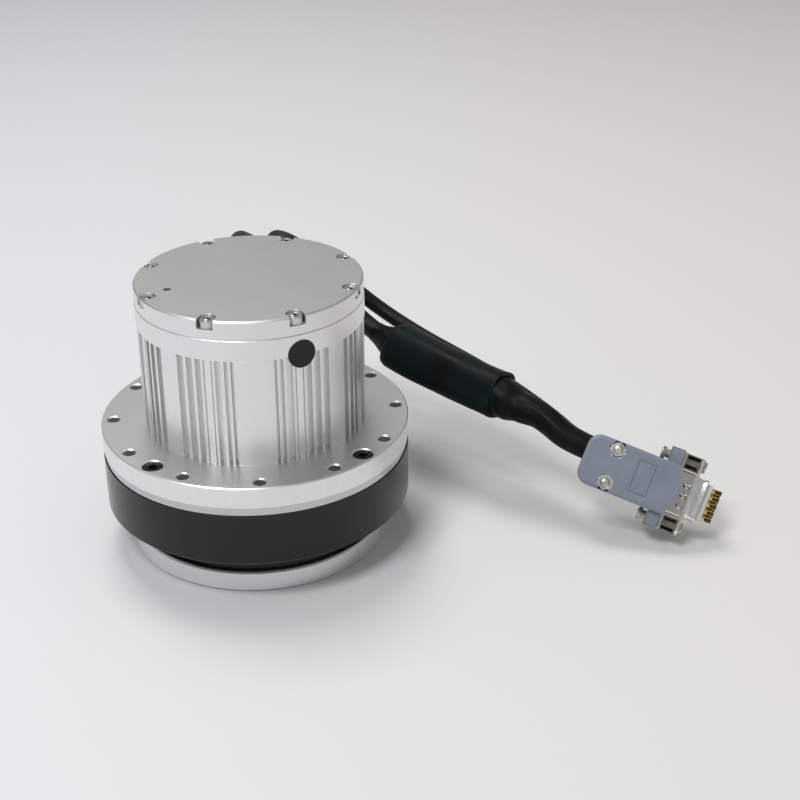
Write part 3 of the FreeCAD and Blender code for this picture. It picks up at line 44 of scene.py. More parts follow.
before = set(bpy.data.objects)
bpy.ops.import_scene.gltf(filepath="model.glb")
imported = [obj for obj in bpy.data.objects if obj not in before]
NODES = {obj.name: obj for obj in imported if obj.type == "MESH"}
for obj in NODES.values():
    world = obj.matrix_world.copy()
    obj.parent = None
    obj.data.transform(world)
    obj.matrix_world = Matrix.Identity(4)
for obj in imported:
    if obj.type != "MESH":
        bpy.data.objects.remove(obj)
MM = 0.001
HOUSING = "housing"

# The plug hangs tilted just over the floor. In its own frame, X runs along its axis and Y across its ears.
PLUG_FRAME = (Matrix.Translation((163.8 * MM, -30.3 * MM, 16.05 * MM))
              @ Matrix.Rotation(math.radians(-24.6), 4, "Z") @ Matrix.Rotation(math.radians(15.2), 4, "Y")
              @ Matrix.Rotation(math.radians(58.8), 4, "X"))

# Where small parts sit in the plug's own frame, in millimetres.
NUT_PLACES = ((-33.4, -6.8, 5.75), (-33.4, 6.8, 5.75))
JACKSCREW_PLACES = (("upper_jackscrew", (-15.0, 12.5, 0)), ("lower_jackscrew", (-15.0, -12.5, 0)))
DIMPLE_PLACES = ((-4.55, -4.6, 4.0), (-4.55, -0.6, 4.0), (-4.55, 3.4, 4.0))
CUP_PITCH, CUP_ROW = 2.77, 1.42
CUP_PLACES = (*((0, CUP_PITCH * (k - 2), CUP_ROW) for k in range(5)),
              *((0, CUP_PITCH * (k - 1.5), -CUP_ROW) for k in range(4)))

# Both leads follow given routes, in millimetres, from the housing's back wall into the plug hood.
POWER_ROUTE = [
    (-3.5, 36.0, 96.2), (-3.5, 56.1, 96.2), (-0.6, 70.1, 89.7), (7.6, 80.2, 80.7),
    (21.6, 84.8, 69.8), (36.5, 79.5, 60.0), (51.0, 65.5, 49.0), (64.5, 49.5, 45.6),
    (78.0, 33.5, 44.2), (91.0, 19.0, 42.6), (102.5, 7.0, 41.9), (111.6, -1.8, 40.0),
    (119.25, -10.94, 33.63), (131.5, -16.55, 29.95)]
SIGNAL_ROUTE = [
    (8.0, 36.0, 96.2), (10.0, 56.8, 96.2), (14.8, 69.3, 91.0), (23.5, 77.8, 82.4),
    (35.5, 81.8, 70.8), (48.5, 80.0, 58.8), (60.0, 73.5, 51.4), (73.0, 61.5, 46.3),
    (87.3, 46.0, 43.0), (99.8, 29.8, 40.5), (109.0, 14.6, 38.4), (116.8, 3.4, 35.4),
    (123.1, -4.83, 31.43), (134.05, -9.85, 28.15)]


# ---------------------------------------------------------------- settings

class ActuatorLeads(bpy.types.PropertyGroup):
    """Sizes of the leads and of the splice in the power lead"""
    power_diameter: FloatProperty(
        name="Power lead", description="Diameter of the power lead", default=8.0 * MM,
        unit="LENGTH")
    signal_diameter: FloatProperty(
        name="Signal lead", description="Diameter of the signal lead", default=6.2 * MM,
        unit="LENGTH")
    sleeve_start: FloatProperty(
        name="Sleeve start", description="Distance along the power lead where the splice sleeve starts",
        default=122.0 * MM, unit="LENGTH")
    sleeve_length: FloatProperty(
        name="Sleeve length", description="Length of the splice sleeve", default=57.0 * MM,
        unit="LENGTH")
    sleeve_radius: FloatProperty(
        name="Sleeve radius", description="Radius of the splice sleeve", default=9.2 * MM,
        unit="LENGTH")


class ActuatorColours(bpy.types.PropertyGroup):
    """Colours of the large parts"""
    # Painted dark reflection: this grey goes on the cover's level faces and is darker than its silver walls.
    cover: FloatVectorProperty(
        name="Cover", description="Bead-blasted grey of the rear cover", subtype="COLOR", size=3,
        default=(0.49, 0.49, 0.48), min=0.0, max=1.0)
    silver: FloatVectorProperty(
        name="Silver", description="Clear anodised aluminium", subtype="COLOR", size=3,
        default=(0.85, 0.85, 0.84), min=0.0, max=1.0)
    black: FloatVectorProperty(
        name="Black", description="Black anodised gear case", subtype="COLOR", size=3,
        default=(0.007, 0.0068, 0.0068), min=0.0, max=1.0)
    hood: FloatVectorProperty(
        name="Hood", description="Blue-grey plastic of the plug hood", subtype="COLOR", size=3,
        default=(0.215, 0.24, 0.305), min=0.0, max=1.0)
    jacket: FloatVectorProperty(
        name="Jacket", description="Near-black jacket of the leads", subtype="COLOR", size=3,
        default=(0.008, 0.0078, 0.0075), min=0.0, max=1.0)


class ActuatorScrews(bpy.types.PropertyGroup):
    """Detail of the cap screws"""
    knurls: IntProperty(
        name="Knurls", description="Grooves round a cap screw's head", default=30, min=12, max=60)


# ---------------------------------------------------------------- finishes

class Finish:
    """A material's node tree, laid out with short calls."""

    def __init__(self, name, colour, roughness=0.4, metallic=0.0, **principled):
        self.material = bpy.data.materials.new(name)
        self.material.use_nodes = True
        self.tree = self.material.node_tree
        self.shader = self.tree.nodes["Principled BSDF"]
        self.shader.inputs["Base Color"].default_value = (*colour, 1.0)
        self.shader.inputs["Roughness"].default_value = roughness
        self.shader.inputs["Metallic"].default_value = metallic
        for key, value in principled.items():
            self.shader.inputs[key.replace("_", " ")].default_value = value
        self.coords = self.tree.nodes.new("ShaderNodeTexCoord").outputs["Object"]

    def node(self, kind, settings=(), **inputs):
        """A new node with its settings, each input given a value or wired to an output."""
        made = self.tree.nodes.new("ShaderNode" + kind)
        for key, value in settings:
            setattr(made, key, value)
        for key, value in inputs.items():
            self.plug(made.inputs[self.socket(key)], value)
        return made

    @staticmethod
    def socket(key):
        """An input's number, written i0, i1 and so on, or else its name."""
        return int(key[1:]) if key[0] == "i" and key[1:].isdigit() else key.replace("_", " ")

    def plug(self, target, value):
        if isinstance(value, bpy.types.NodeSocket):
            self.tree.links.new(value, target)
        else:
            target.default_value = value

    def math(self, operation, first, second=0.0):
        """One step of arithmetic."""
        return self.node("Math", [("operation", operation)], i0=first, i1=second).outputs[0]

    def noise(self, scale, detail=3.0, stretch=(1, 1, 1), rough=0.55, where=None):
        """Cloudy noise, drawn out along an axis by a small stretch."""
        where = where or self.coords
        if stretch != (1, 1, 1):
            where = self.node("Mapping", Vector=where, Scale=stretch).outputs[0]
        made = self.node("TexNoise", Vector=where, Scale=scale, Detail=detail, Roughness=rough)
        return made.outputs[0]

    def turned(self, fine=9000.0):
        """Coordinates that repeat round Z, so that a noise in them looks like lathe marks."""
        parts = self.node("SeparateXYZ", Vector=self.coords).outputs
        square = self.math("ADD", self.math("MULTIPLY", parts[0], parts[0]),
                           self.math("MULTIPLY", parts[1], parts[1]))
        radius = self.math("SQRT", square)
        angle = self.math("ARCTAN2", parts[1], parts[0])
        return self.node("CombineXYZ", X=self.math("MULTIPLY", radius, fine),
                         Y=self.math("MULTIPLY", parts[2], fine),
                         Z=self.math("MULTIPLY", angle, 2.2)).outputs[0]

    def spread(self, value, low, high, start=0.35, stop=0.65):
        """The value from start to stop, spread over low to high."""
        made = self.node("MapRange", Value=value, i1=start, i2=stop, i3=low, i4=high)
        return made.outputs[0]

    def blend(self, share, first, second):
        """A mix of two colours, all of the second where the share is 1."""
        made = self.node("Mix", [("data_type", "RGBA")])
        self.plug(made.inputs["Factor"], share)
        self.plug(made.inputs[6], first if isinstance(first, bpy.types.NodeSocket) else (*first, 1.0))
        self.plug(made.inputs[7], second if isinstance(second, bpy.types.NodeSocket) else (*second, 1.0))
        return made.outputs[2]

    def mottled(self, clouds, colour, dark, light):
        """A colour that wanders with a noise between a darker and a lighter shade."""
        return self.blend(self.spread(clouds, 0.0, 1.0), shade(colour, dark), shade(colour, light))

    def bump(self, height, distance, strength, below=None):
        """A relief of a given depth, laid over another one."""
        made = self.node("Bump", Height=height, Distance=distance, Strength=strength)
        if below:
            self.plug(made.inputs["Normal"], below)
        return made.outputs[0]

    def soft_edges(self, radius):
        """The surface's direction with its edges rounded."""
        return self.node("Bevel", [("samples", 4)], Radius=radius).outputs[0]

    def upright(self):
        """1 on faces that look up, 0 on walls, -1 on faces that look down."""
        facing = self.node("NewGeometry").outputs["True Normal"]
        return self.node("SeparateXYZ", Vector=facing).outputs[2]

    def edge_mask(self, radius):
        """1 on edges, 0 on faces; most finishes paint these edges lighter, both as rubbed wear and as painted
        edge highlights.
        """
        rounded = self.soft_edges(radius)
        facing = self.node("NewGeometry").outputs["Normal"]
        along = self.node("VectorMath", [("operation", "DOT_PRODUCT")], i0=rounded, i1=facing)
        return self.spread(along.outputs["Value"], 1.0, 0.0, 0.86, 0.995)

    def set(self, name, value):
        self.plug(self.shader.inputs[name], value)


def shade(colour, factor):
    """A colour made lighter or darker."""
    return tuple(min(1.0, part * factor) for part in colour)


def finish_turned(name, colour, roughness, metallic=1.0, marks=1.0, mottle=0.02, edge=0.0, **principled):
    """Lathe-turned metal: fine rings round the axis and faint stains."""
    finish = Finish(name, colour, roughness, metallic, **principled)
    rings = finish.noise(1.0, 2.0, where=finish.turned())
    coarse = finish.noise(1.0, 1.0, where=finish.turned(1500.0))
    stains = finish.noise(60.0, 4.0)
    tone = finish.mottled(stains, colour, 1.0 - mottle, 1.0 + mottle)
    if edge:
        # Rubbed wear and painted edge highlights: the edges are painted lighter.
        tone = finish.blend(finish.edge_mask(0.35 * MM), tone, shade(colour, 1.0 + edge))
    finish.set("Base Color", tone)
    gloss = finish.math("ADD", finish.spread(rings, -0.03, 0.03),
                        finish.spread(stains, roughness - 0.02, roughness + 0.03))
    finish.set("Roughness", gloss)
    fine = finish.bump(rings, 0.004 * MM * marks, 0.6, finish.soft_edges(0.12 * MM))
    finish.set("Normal", finish.bump(coarse, 0.003 * MM * marks, 0.5, fine))
    return finish.material


def finish_extruded(name, colour, roughness, turned_below):
    """Clear anodised extrusion: faint die lines along Z above the flange, turned rings elsewhere; level faces
    painted darker as a painted dark reflection, and edges painted lighter as rubbed wear and painted edge
    highlights.
    """
    finish = Finish(name, colour, roughness, 1.0)
    lines = finish.noise(2600.0, 2.0, (1, 1, 0.012))
    wide = finish.noise(420.0, 2.0, (1, 1, 0.02))
    etch = finish.noise(9000.0, 2.0)
    rings = finish.noise(1.0, 2.0, where=finish.turned())
    level = finish.spread(finish.math("ABSOLUTE", finish.upright()), 0.0, 1.0, 0.5, 0.9)
    height = finish.node("SeparateXYZ", Vector=finish.coords).outputs[2]
    turned = finish.math("MAXIMUM", level, finish.math("LESS_THAN", height, turned_below))
    marks = finish.node("Mix", i0=turned, i2=lines, i3=rings).outputs[0]
    tone = finish.mottled(wide, colour, 0.985, 1.01)
    # Painted dark reflection: level faces are painted darker than the walls.
    tone = finish.blend(level, tone, shade(colour, 0.86))
    # Rubbed wear and painted edge highlights: the edges are painted lighter.
    tone = finish.blend(finish.edge_mask(0.3 * MM), tone, shade(colour, 1.17))
    finish.set("Base Color", tone)
    finish.set("Roughness", finish.math("ADD", finish.spread(marks, -0.02, 0.02), roughness))
    body = finish.bump(marks, 0.0008 * MM, 0.6, finish.soft_edges(0.15 * MM))
    finish.set("Normal", finish.bump(etch, 0.0012 * MM, 0.5, body))
    return finish.material


def finish_blasted(name, colour, roughness, rim, rim_roughness):
    """Bead-blasted and anodised metal: a fine even grain, edges painted lighter as rubbed wear and painted
    edge highlights, level faces in the darker colour as a painted dark reflection, and walls in the brighter
    colour of a turned rim.
    """
    finish = Finish(name, colour, roughness, 1.0)
    level = finish.spread(finish.upright(), 0.0, 1.0, 0.5, 0.9)
    grain = finish.noise(7000.0, 3.0)
    clouds = finish.noise(35.0, 3.0)
    brushed = finish.noise(1600.0, 3.0, (0.02, 1, 1))
    tone = finish.mottled(clouds, colour, 0.98, 1.02)
    tone = finish.blend(finish.spread(grain, 0.0, 0.15), tone, shade(colour, 1.15))
    # Rubbed wear and painted edge highlights: the edges are painted lighter.
    tone = finish.blend(finish.edge_mask(0.3 * MM), tone, shade(colour, 1.4))
    # Painted dark reflection: the level faces take the darker cover grey, the walls the silver rim colour.
    finish.set("Base Color", finish.blend(level, rim, tone))
    gloss = finish.spread(level, rim_roughness, roughness, 0.0, 1.0)
    finish.set("Roughness", finish.math("ADD", gloss, finish.spread(brushed, -0.012, 0.012)))
    body = finish.bump(grain, 0.003 * MM, 0.6, finish.soft_edges(0.15 * MM))
    finish.set("Normal", finish.bump(brushed, 0.0002 * MM, 0.5, body))
    return finish.material


def finish_hardware(name, colour, roughness, metallic=1.0, stain=0.1, edge=0.3):
    """Small plated or oxidised steel parts."""
    finish = Finish(name, colour, roughness, metallic)
    pits = finish.noise(2500.0, 4.0)
    clouds = finish.noise(260.0, 3.0)
    tone = finish.mottled(clouds, colour, 1.0 - stain, 1.0 + stain)
    # Rubbed wear and painted edge highlights: the edges are painted lighter.
    tone = finish.blend(finish.edge_mask(0.15 * MM), tone, shade(colour, 1.0 + edge))
    finish.set("Base Color", tone)
    finish.set("Roughness", finish.spread(clouds, roughness - 0.06, roughness + 0.08))
    finish.set("Normal", finish.bump(pits, 0.004 * MM, 0.5, finish.soft_edges(0.1 * MM)))
    return finish.material


def finish_moulded(name, colour, roughness, grain=0.012, worn=0.12):
    """Moulded plastic with a spark-eroded texture."""
    finish = Finish(name, colour, roughness)
    cells = finish.node("TexVoronoi", Vector=finish.coords, Scale=4200.0).outputs[0]
    fine = finish.noise(6000.0, 3.0)
    clouds = finish.noise(120.0, 4.0)
    scuffs = finish.noise(500.0, 6.0, (1, 0.2, 0.6), 0.7)
    tone = finish.mottled(clouds, colour, 0.95, 1.06)
    tone = finish.blend(finish.spread(scuffs, 0.0, worn, 0.6, 0.75), tone, shade(colour, 1.7))
    # Rubbed wear and painted edge highlights: the edges are painted lighter.
    tone = finish.blend(finish.edge_mask(0.25 * MM), tone, shade(colour, 1.22))
    finish.set("Base Color", tone)
    finish.set("Roughness", finish.spread(fine, roughness - 0.06, roughness + 0.06))
    body = finish.bump(cells, grain * MM, 0.6, finish.soft_edges(0.2 * MM))
    finish.set("Normal", finish.bump(fine, 0.6 * grain * MM, 0.5, body))
    return finish.material


def finish_jacket(name, colour, roughness, wrinkle=0.02):
    """Flexible lead jacket: drawn lines, dust and a soft sheen."""
    finish = Finish(name, colour, roughness, Specular_IOR_Level=0.2)
    dust = finish.noise(700.0, 6.0, rough=0.7)
    waves = finish.noise(140.0, 3.0)
    fine = finish.noise(5200.0, 2.0)
    tone = finish.blend(finish.spread(dust, 0.0, 0.06, 0.58, 0.8), colour, (0.22, 0.21, 0.20))
    finish.set("Base Color", tone)
    finish.set("Roughness", finish.spread(waves, roughness - 0.07, roughness + 0.09))
    body = finish.bump(waves, wrinkle * MM, 0.8)
    finish.set("Normal", finish.bump(fine, 0.003 * MM, 0.5, body))
    return finish.material


def finish_shrink(name, colour, roughness):
    """Heat-shrink tube: glossy, with shallow lengthwise puckers and lighter greenish patches painted as
    sheen.
    """
    finish = Finish(name, colour, roughness, Specular_IOR_Level=0.09)
    clouds = finish.noise(55.0, 3.0)
    puckers = finish.noise(260.0, 3.0)
    fine = finish.noise(3800.0, 3.0)
    # Painted sheen: a lighter greenish tone, laid in cloudy patches.
    thin = tuple(part * gain for part, gain in zip(colour, (1.3, 2.1, 2.0)))
    finish.set("Base Color", finish.blend(finish.spread(clouds, 0.0, 1.0), colour, thin))
    finish.set("Roughness", finish.spread(clouds, roughness - 0.06, roughness + 0.10))
    body = finish.bump(puckers, 0.08 * MM, 0.6)
    finish.set("Normal", finish.bump(fine, 0.004 * MM, 0.5, body))
    return finish.material


def finish_copper(name):
    """Enamelled winding wire laid side by side."""
    colour = (0.48, 0.16, 0.05)
    finish = Finish(name, colour, 0.3, 1.0, Coat_Weight=0.6)
    wires = finish.node("TexWave", [("bands_direction", "Z")], Vector=finish.coords, Scale=900.0,
                        Distortion=1.5).outputs["Fac"]
    finish.set("Base Color", finish.blend(wires, shade(colour, 0.45), shade(colour, 1.25)))
    finish.set("Normal", finish.bump(wires, 0.12 * MM, 0.9))
    return finish.material


def finish_board(name):
    """Green solder mask over copper tracks."""
    colour = (0.012, 0.10, 0.035)
    finish = Finish(name, colour, 0.35, 0.0, Coat_Weight=0.4)
    tracks = finish.node("TexBrick", Vector=finish.coords, Scale=420.0, Mortar_Size=0.03).outputs["Fac"]
    speck = finish.noise(900.0, 3.0)
    tone = finish.blend(tracks, colour, shade(colour, 2.1))
    tone = finish.blend(finish.spread(speck, 0.0, 0.2, 0.5, 0.7), tone, shade(colour, 0.5))
    finish.set("Base Color", tone)
    finish.set("Normal", finish.bump(tracks, 0.03 * MM, 0.8))
    return finish.material


def finish_laminated(name):
    """Stack of thin electrical steel sheets."""
    colour = (0.24, 0.25, 0.28)
    finish = Finish(name, colour, 0.38, 1.0)
    sheets = finish.node("TexWave", [("bands_direction", "Z")], Vector=finish.coords,
                         Scale=950.0).outputs["Fac"]
    finish.set("Base Color", finish.blend(sheets, shade(colour, 0.5), shade(colour, 1.2)))
    finish.set("Normal", finish.bump(sheets, 0.05 * MM, 0.8))
    return finish.material


def finish_film(name):
    """Bare black film of a round label, with a little dust and a pressed edge."""
    colour = (0.012, 0.011, 0.010)
    finish = Finish(name, colour, 0.36, Specular_IOR_Level=0.3)
    dust = finish.noise(1500.0, 5.0, rough=0.7)
    ripple = finish.noise(300.0, 2.0)
    tone = finish.blend(finish.spread(dust, 0.0, 0.05, 0.6, 0.8), colour, (0.3, 0.3, 0.3))
    finish.set("Base Color", finish.blend(finish.edge_mask(0.12 * MM), tone, (0.30, 0.29, 0.28)))
    finish.set("Roughness", finish.spread(dust, 0.26, 0.45))
    finish.set("Normal", finish.bump(ripple, 0.02 * MM, 0.6))
    return finish.material


def wear(finish, *names):
    """Give CAD nodes a finish."""
    for name in names:
        node = NODES[name]
        node.data.materials.clear()
        node.data.materials.append(finish)
        smooth(node)


def smooth(piece, angle=32.0):
    """Smooth shading that keeps edges sharper than the angle."""
    mesh = piece.data
    mesh.shade_smooth()
    mesh.set_sharp_from_angle(angle=math.radians(angle))


# ---------------------------------------------------------------- mesh helpers

def new_piece(name, bm, material, body):
    """Turn a bmesh into a finished piece that rides on a body."""
    bmesh.ops.recalc_face_normals(bm, faces=bm.faces[:])
    mesh = bpy.data.meshes.new(name)
    bm.to_mesh(mesh)
    bm.free()
    piece = bpy.data.objects.new(name, mesh)
    bpy.context.scene.collection.objects.link(piece)
    mesh.materials.append(material)
    smooth(piece)
    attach(piece, body)
    return piece


def ring_of(bm, centre, across, up, radius, count, wobble=None):
    """A closed ring of vertices round a centre."""
    made = []
    for index in range(count):
        turn = 2 * math.pi * index / count
        reach = radius * (wobble(turn) if wobble else 1.0)
        made.append(bm.verts.new(centre + across * (reach * math.cos(turn)) + up * (reach * math.sin(turn))))
    return made


def bridge(bm, first, second):
    """A band of faces between two rings of as many vertices."""
    count = len(first)
    for index in range(count):
        after = (index + 1) % count
        bm.faces.new((first[index], first[after], second[after], second[index]))


def line_of(curve):
    """The smooth line that a route's spline follows, as points in order, read from a bare copy."""
    bare = bpy.data.objects.new("lead_line", curve.data.copy())
    bare.data.bevel_depth = 0.0
    bpy.context.scene.collection.objects.link(bare)
    mesh = bpy.data.meshes.new_from_object(bare.evaluated_get(bpy.context.evaluated_depsgraph_get()))
    points = [vertex.co.copy() for vertex in mesh.vertices]
    data = bare.data
    bpy.data.objects.remove(bare)
    bpy.data.curves.remove(data)
    bpy.data.meshes.remove(mesh)
    return points


def walk(points, start, stop, steps):
    """Even places between two distances along a line, each with its direction."""
    lengths = [0.0]
    for first, second in zip(points, points[1:]):
        lengths.append(lengths[-1] + (second - first).length)
    places = []
    index = 0
    for step in range(steps + 1):
        wanted = start + (stop - start) * step / steps
        while index < len(points) - 2 and lengths[index + 1] < wanted:
            index += 1
        share = (wanted - lengths[index]) / (lengths[index + 1] - lengths[index])
        places.append(points[index].lerp(points[index + 1], share))
    directions = [(places[min(i + 1, steps)] - places[max(i - 1, 0)]).normalized() for i in range(steps + 1)]
    return list(zip(places, directions))


def eased(table, value):
    """Smooth reading of a short (place, amount) table."""
    for (start, low), (stop, high) in zip(table, table[1:]):
        if value <= stop:
            share = max(0.0, (value - start) / (stop - start))
            share = share * share * (3 - 2 * share)
            return low + (high - low) * share
    return table[-1][1]


def sleeve_mesh(points, start, stop, profile, inside, seed, pucker,
                flat=2.0, lie=0.0, swell=0.0, sag=((0.0, 0.0), (1.0, 0.0))):
    """A shrunk tube round a lead: a profile of radii, puckers, flattened sides, a swollen width and a sag."""
    rng = random.Random(seed)
    count = 7
    waves = [(rng.randint(3, 9), rng.uniform(0, 6.28), rng.uniform(0.3, 1.0), rng.uniform(90, 260))
             for _ in range(count)]
    bm = bmesh.new()
    steps, sides = 110, 64
    swell_turn = 2.2
    places = walk(points, start, stop, steps)
    outer, inner = [], []
    side = places[0][1].cross(Vector((0, 0, 1))).normalized()
    for index, (place, direction) in enumerate(places):
        side = (side - direction * side.dot(direction)).normalized()
        up = side.cross(direction).normalized()
        along = (stop - start) * index / steps
        radius = eased(profile, along / (stop - start))

        def wobble(turn):
            lumps = sum(gain * math.sin(lobes * turn + phase + rate * along)
                        for lobes, phase, gain, rate in waves)
            square = abs(math.cos(turn - lie)) ** flat + abs(math.sin(turn - lie)) ** flat
            wide = 1.0 + swell * math.cos(2 * (turn - swell_turn))
            return wide * (1.0 + pucker * lumps / count) / square ** (1.0 / flat)

        centre = place - up * eased(sag, along / (stop - start))
        outer.append(ring_of(bm, centre, side, up, radius, sides, wobble))
        inner.append(ring_of(bm, centre, side, up, inside(along / (stop - start)), sides))
    for rings in (outer, inner):
        for first, second in zip(rings, rings[1:]):
            bridge(bm, first, second)
    bridge(bm, outer[0], inner[0])
    bridge(bm, outer[-1], inner[-1])
    return bm


# ---------------------------------------------------------------- operators

class ACTUATOR_OT_stage(bpy.types.Operator):
    """Camera, pale floor and soft studio light"""
    bl_idname = "actuator.stage"
    bl_label = "Stage"

    def execute(self, context):
        scene = context.scene
        scene.view_settings.view_transform = "Standard"
        self.camera(scene)
        self.floor(scene)
        self.lamps(scene)
        self.sky(scene)
        return {"FINISHED"}

    def camera(self, scene):
        """A camera in front of the housing, looking down at it."""
        data = bpy.data.cameras.new("camera")
        data.sensor_width = 36.0
        data.lens = 66.0
        data.clip_start = 0.01
        camera = bpy.data.objects.new("camera", data)
        yaw, pitch, roll = math.radians(-6.32), math.radians(90 - 27.05), math.radians(0.19)
        turn = Matrix.Rotation(yaw, 4, "Z") @ Matrix.Rotation(pitch, 4, "X") @ Matrix.Rotation(-roll, 4, "Z")
        camera.matrix_world = Matrix.Translation((0, -0.4943, 0.3036)) @ turn
        scene.collection.objects.link(camera)
        scene.camera = camera

    def floor(self, scene):
        """Pale paper, painted a little cooler on the left and warmer and darker on the right: painted light
        colour and painted shade.
        """
        bm = bmesh.new()
        bmesh.ops.create_grid(bm, x_segments=1, y_segments=1, size=4.0)
        mesh = bpy.data.meshes.new("floor")
        bm.to_mesh(mesh)
        bm.free()
        floor = bpy.data.objects.new("floor", mesh)
        scene.collection.objects.link(floor)
        floor.location.z = -0.0002
        finish = Finish("floor_paper", (0.80, 0.80, 0.80), 0.6, Specular_IOR_Level=0.1)
        across = finish.node("SeparateXYZ", Vector=finish.coords).outputs[0]
        clouds = finish.noise(3.0, 2.0)
        # Painted light and shade: a warm, slightly darker tint that grows towards the right.
        warm_light_share = finish.math("ADD", finish.spread(across, 0.0, 0.85, -0.15, 0.3),
                             finish.spread(clouds, -0.1, 0.1))
        finish.set("Base Color", finish.blend(warm_light_share, (0.755, 0.775, 0.79), (0.785, 0.758, 0.728)))
        mesh.materials.append(finish.material)

    def lamps(self, scene):
        """A soft lamp over the front left and a weaker one over the back, both aimed at the housing."""
        aim = Vector((0.03, 0, 0.04))
        for name, place, size, power, colour in (
                ("front_left", (-0.45, -0.54, 1.21), 0.45, 8.6, (0.98, 0.99, 1.0)),
                ("back", (-0.153, 0.50, 1.30), 0.45, 6.8, (1.0, 0.98, 0.95))):
            data = bpy.data.lights.new(name, "AREA")
            data.size = size
            data.energy = power
            data.color = colour
            lamp = bpy.data.objects.new(name, data)
            lamp.location = place
            lamp.rotation_euler = (aim - Vector(place)).to_track_quat("-Z", "Y").to_euler()
            scene.collection.objects.link(lamp)

    def sky(self, scene):
        """A pale room, dimmer as a light than the camera sees it."""
        world = bpy.data.worlds.new("studio")
        world.use_nodes = True
        tree = world.node_tree
        background = tree.nodes["Background"]
        path = tree.nodes.new("ShaderNodeLightPath")
        seen = tree.nodes.new("ShaderNodeMath")
        seen.operation = "MAXIMUM"
        tree.links.new(path.outputs["Is Camera Ray"], seen.inputs[0])
        tree.links.new(path.outputs["Is Transmission Ray"], seen.inputs[1])
        strength = tree.nodes.new("ShaderNodeMapRange")
        strength.inputs[3].default_value = 0.38
        strength.inputs[4].default_value = 1.0
        tree.links.new(seen.outputs[0], strength.inputs[0])
        background.inputs["Color"].default_value = (0.93, 0.94, 0.96, 1.0)
        tree.links.new(strength.outputs[0], background.inputs["Strength"])
        scene.world = world


class ACTUATOR_OT_leads(bpy.types.Operator):
    """Power lead and signal lead from the back wall to the plug hood"""
    bl_idname = "actuator.leads"
    bl_label = "Leads"

    def execute(self, context):
        sizes = context.scene.actuator_leads
        jacket = finish_jacket("jacket", tuple(context.scene.actuator_colours.jacket), 0.42)
        self.lead("power_cable", POWER_ROUTE, sizes.power_diameter, jacket, "power_lead")
        self.lead("signal_cable", SIGNAL_ROUTE, sizes.signal_diameter, jacket, "signal_lead")
        return {"FINISHED"}

    def lead(self, name, route, diameter, jacket, node):
        """A round lead along its route."""
        data = bpy.data.curves.new(name, "CURVE")
        data.dimensions = "3D"
        data.resolution_u = 16
        data.bevel_depth = diameter / 2
        data.bevel_resolution = 10
        data.use_fill_caps = True
        spline = data.splines.new("NURBS")
        spline.points.add(len(route) - 1)
        for point, place in zip(spline.points, route):
            point.co = (*(part * MM for part in place), 1.0)
        spline.order_u = 3
        spline.use_endpoint_u = True
        data.materials.append(jacket)
        lead = bpy.data.objects.new(name, data)
        bpy.context.scene.collection.objects.link(lead)
        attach(lead, HOUSING)
        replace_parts(lead, node)


class ACTUATOR_OT_sleeves(bpy.types.Operator):
    """Two shrink sleeves over the splice in the power lead"""
    bl_idname = "actuator.sleeves"
    bl_label = "Splice sleeves"

    def execute(self, context):
        sizes = context.scene.actuator_leads
        line = line_of(bpy.data.objects["power_cable"])
        self.inner(line, sizes)
        self.outer(line, sizes)
        return {"FINISHED"}

    def inner(self, line, sizes):
        """A long thin sleeve that bulges out of the outer one and narrows towards the plug."""
        lead = sizes.power_diameter / 2
        start = sizes.sleeve_start
        stop = start + sizes.sleeve_length
        neck, tail = 11.0 * MM, 45.0 * MM
        wall = 0.9 * MM
        span = neck + sizes.sleeve_length + tail
        end = neck + sizes.sleeve_length
        table = [(0.0, lead + 0.3 * MM), (neck, 6.9 * MM), (neck + 20 * MM, 6.8 * MM),
                 (end - 6 * MM, 7.6 * MM), (end, 8.3 * MM), (end + 3.5 * MM, 7.9 * MM),
                 (end + 10 * MM, 6.1 * MM), (end + 20 * MM, 5.3 * MM), (span, lead + 0.8 * MM)]
        profile = [(along / span, radius) for along, radius in table]
        sag = [(0.0, 0.0), ((end - 4 * MM) / span, 0.0), ((end + 10 * MM) / span, 1.3 * MM),
               ((end + 20 * MM) / span, 0.8 * MM), (1.0, 0.0)]

        def bore(share):
            return max(lead + 0.05 * MM, eased(profile, share) - wall)

        bm = sleeve_mesh(line, start - neck, stop + tail, profile, bore, seed=5, pucker=0.05, sag=sag)
        finish = finish_shrink("shrink_dark", (0.0052, 0.0048, 0.0046), 0.40)
        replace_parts(new_piece("inner_shrink", bm, finish, HOUSING), "inner_sleeve")

    def outer(self, line, sizes):
        """A short fat sleeve with flattened sides, drawn in at its first end."""
        start = sizes.sleeve_start
        radius = sizes.sleeve_radius - 0.35 * MM
        profile = [(0.0, radius - 0.7 * MM), (0.012, radius - 0.1 * MM), (0.045, radius + 0.3 * MM),
                   (0.2, radius + 0.3 * MM), (0.5, radius), (0.94, radius), (0.985, radius + 0.15 * MM),
                   (1.0, radius - 0.1 * MM)]
        bore = [(0.0, 7.0 * MM), (0.1, 7.0 * MM), (0.9, 8.1 * MM), (1.0, 8.4 * MM)]
        bm = sleeve_mesh(line, start, start + sizes.sleeve_length, profile, lambda share: eased(bore, share),
                         seed=11, pucker=0.035, flat=2.6, lie=0.35, swell=0.07)
        finish = finish_shrink("shrink", (0.0050, 0.0062, 0.0066), 0.44)
        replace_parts(new_piece("outer_shrink", bm, finish, HOUSING), "splice_sleeve")


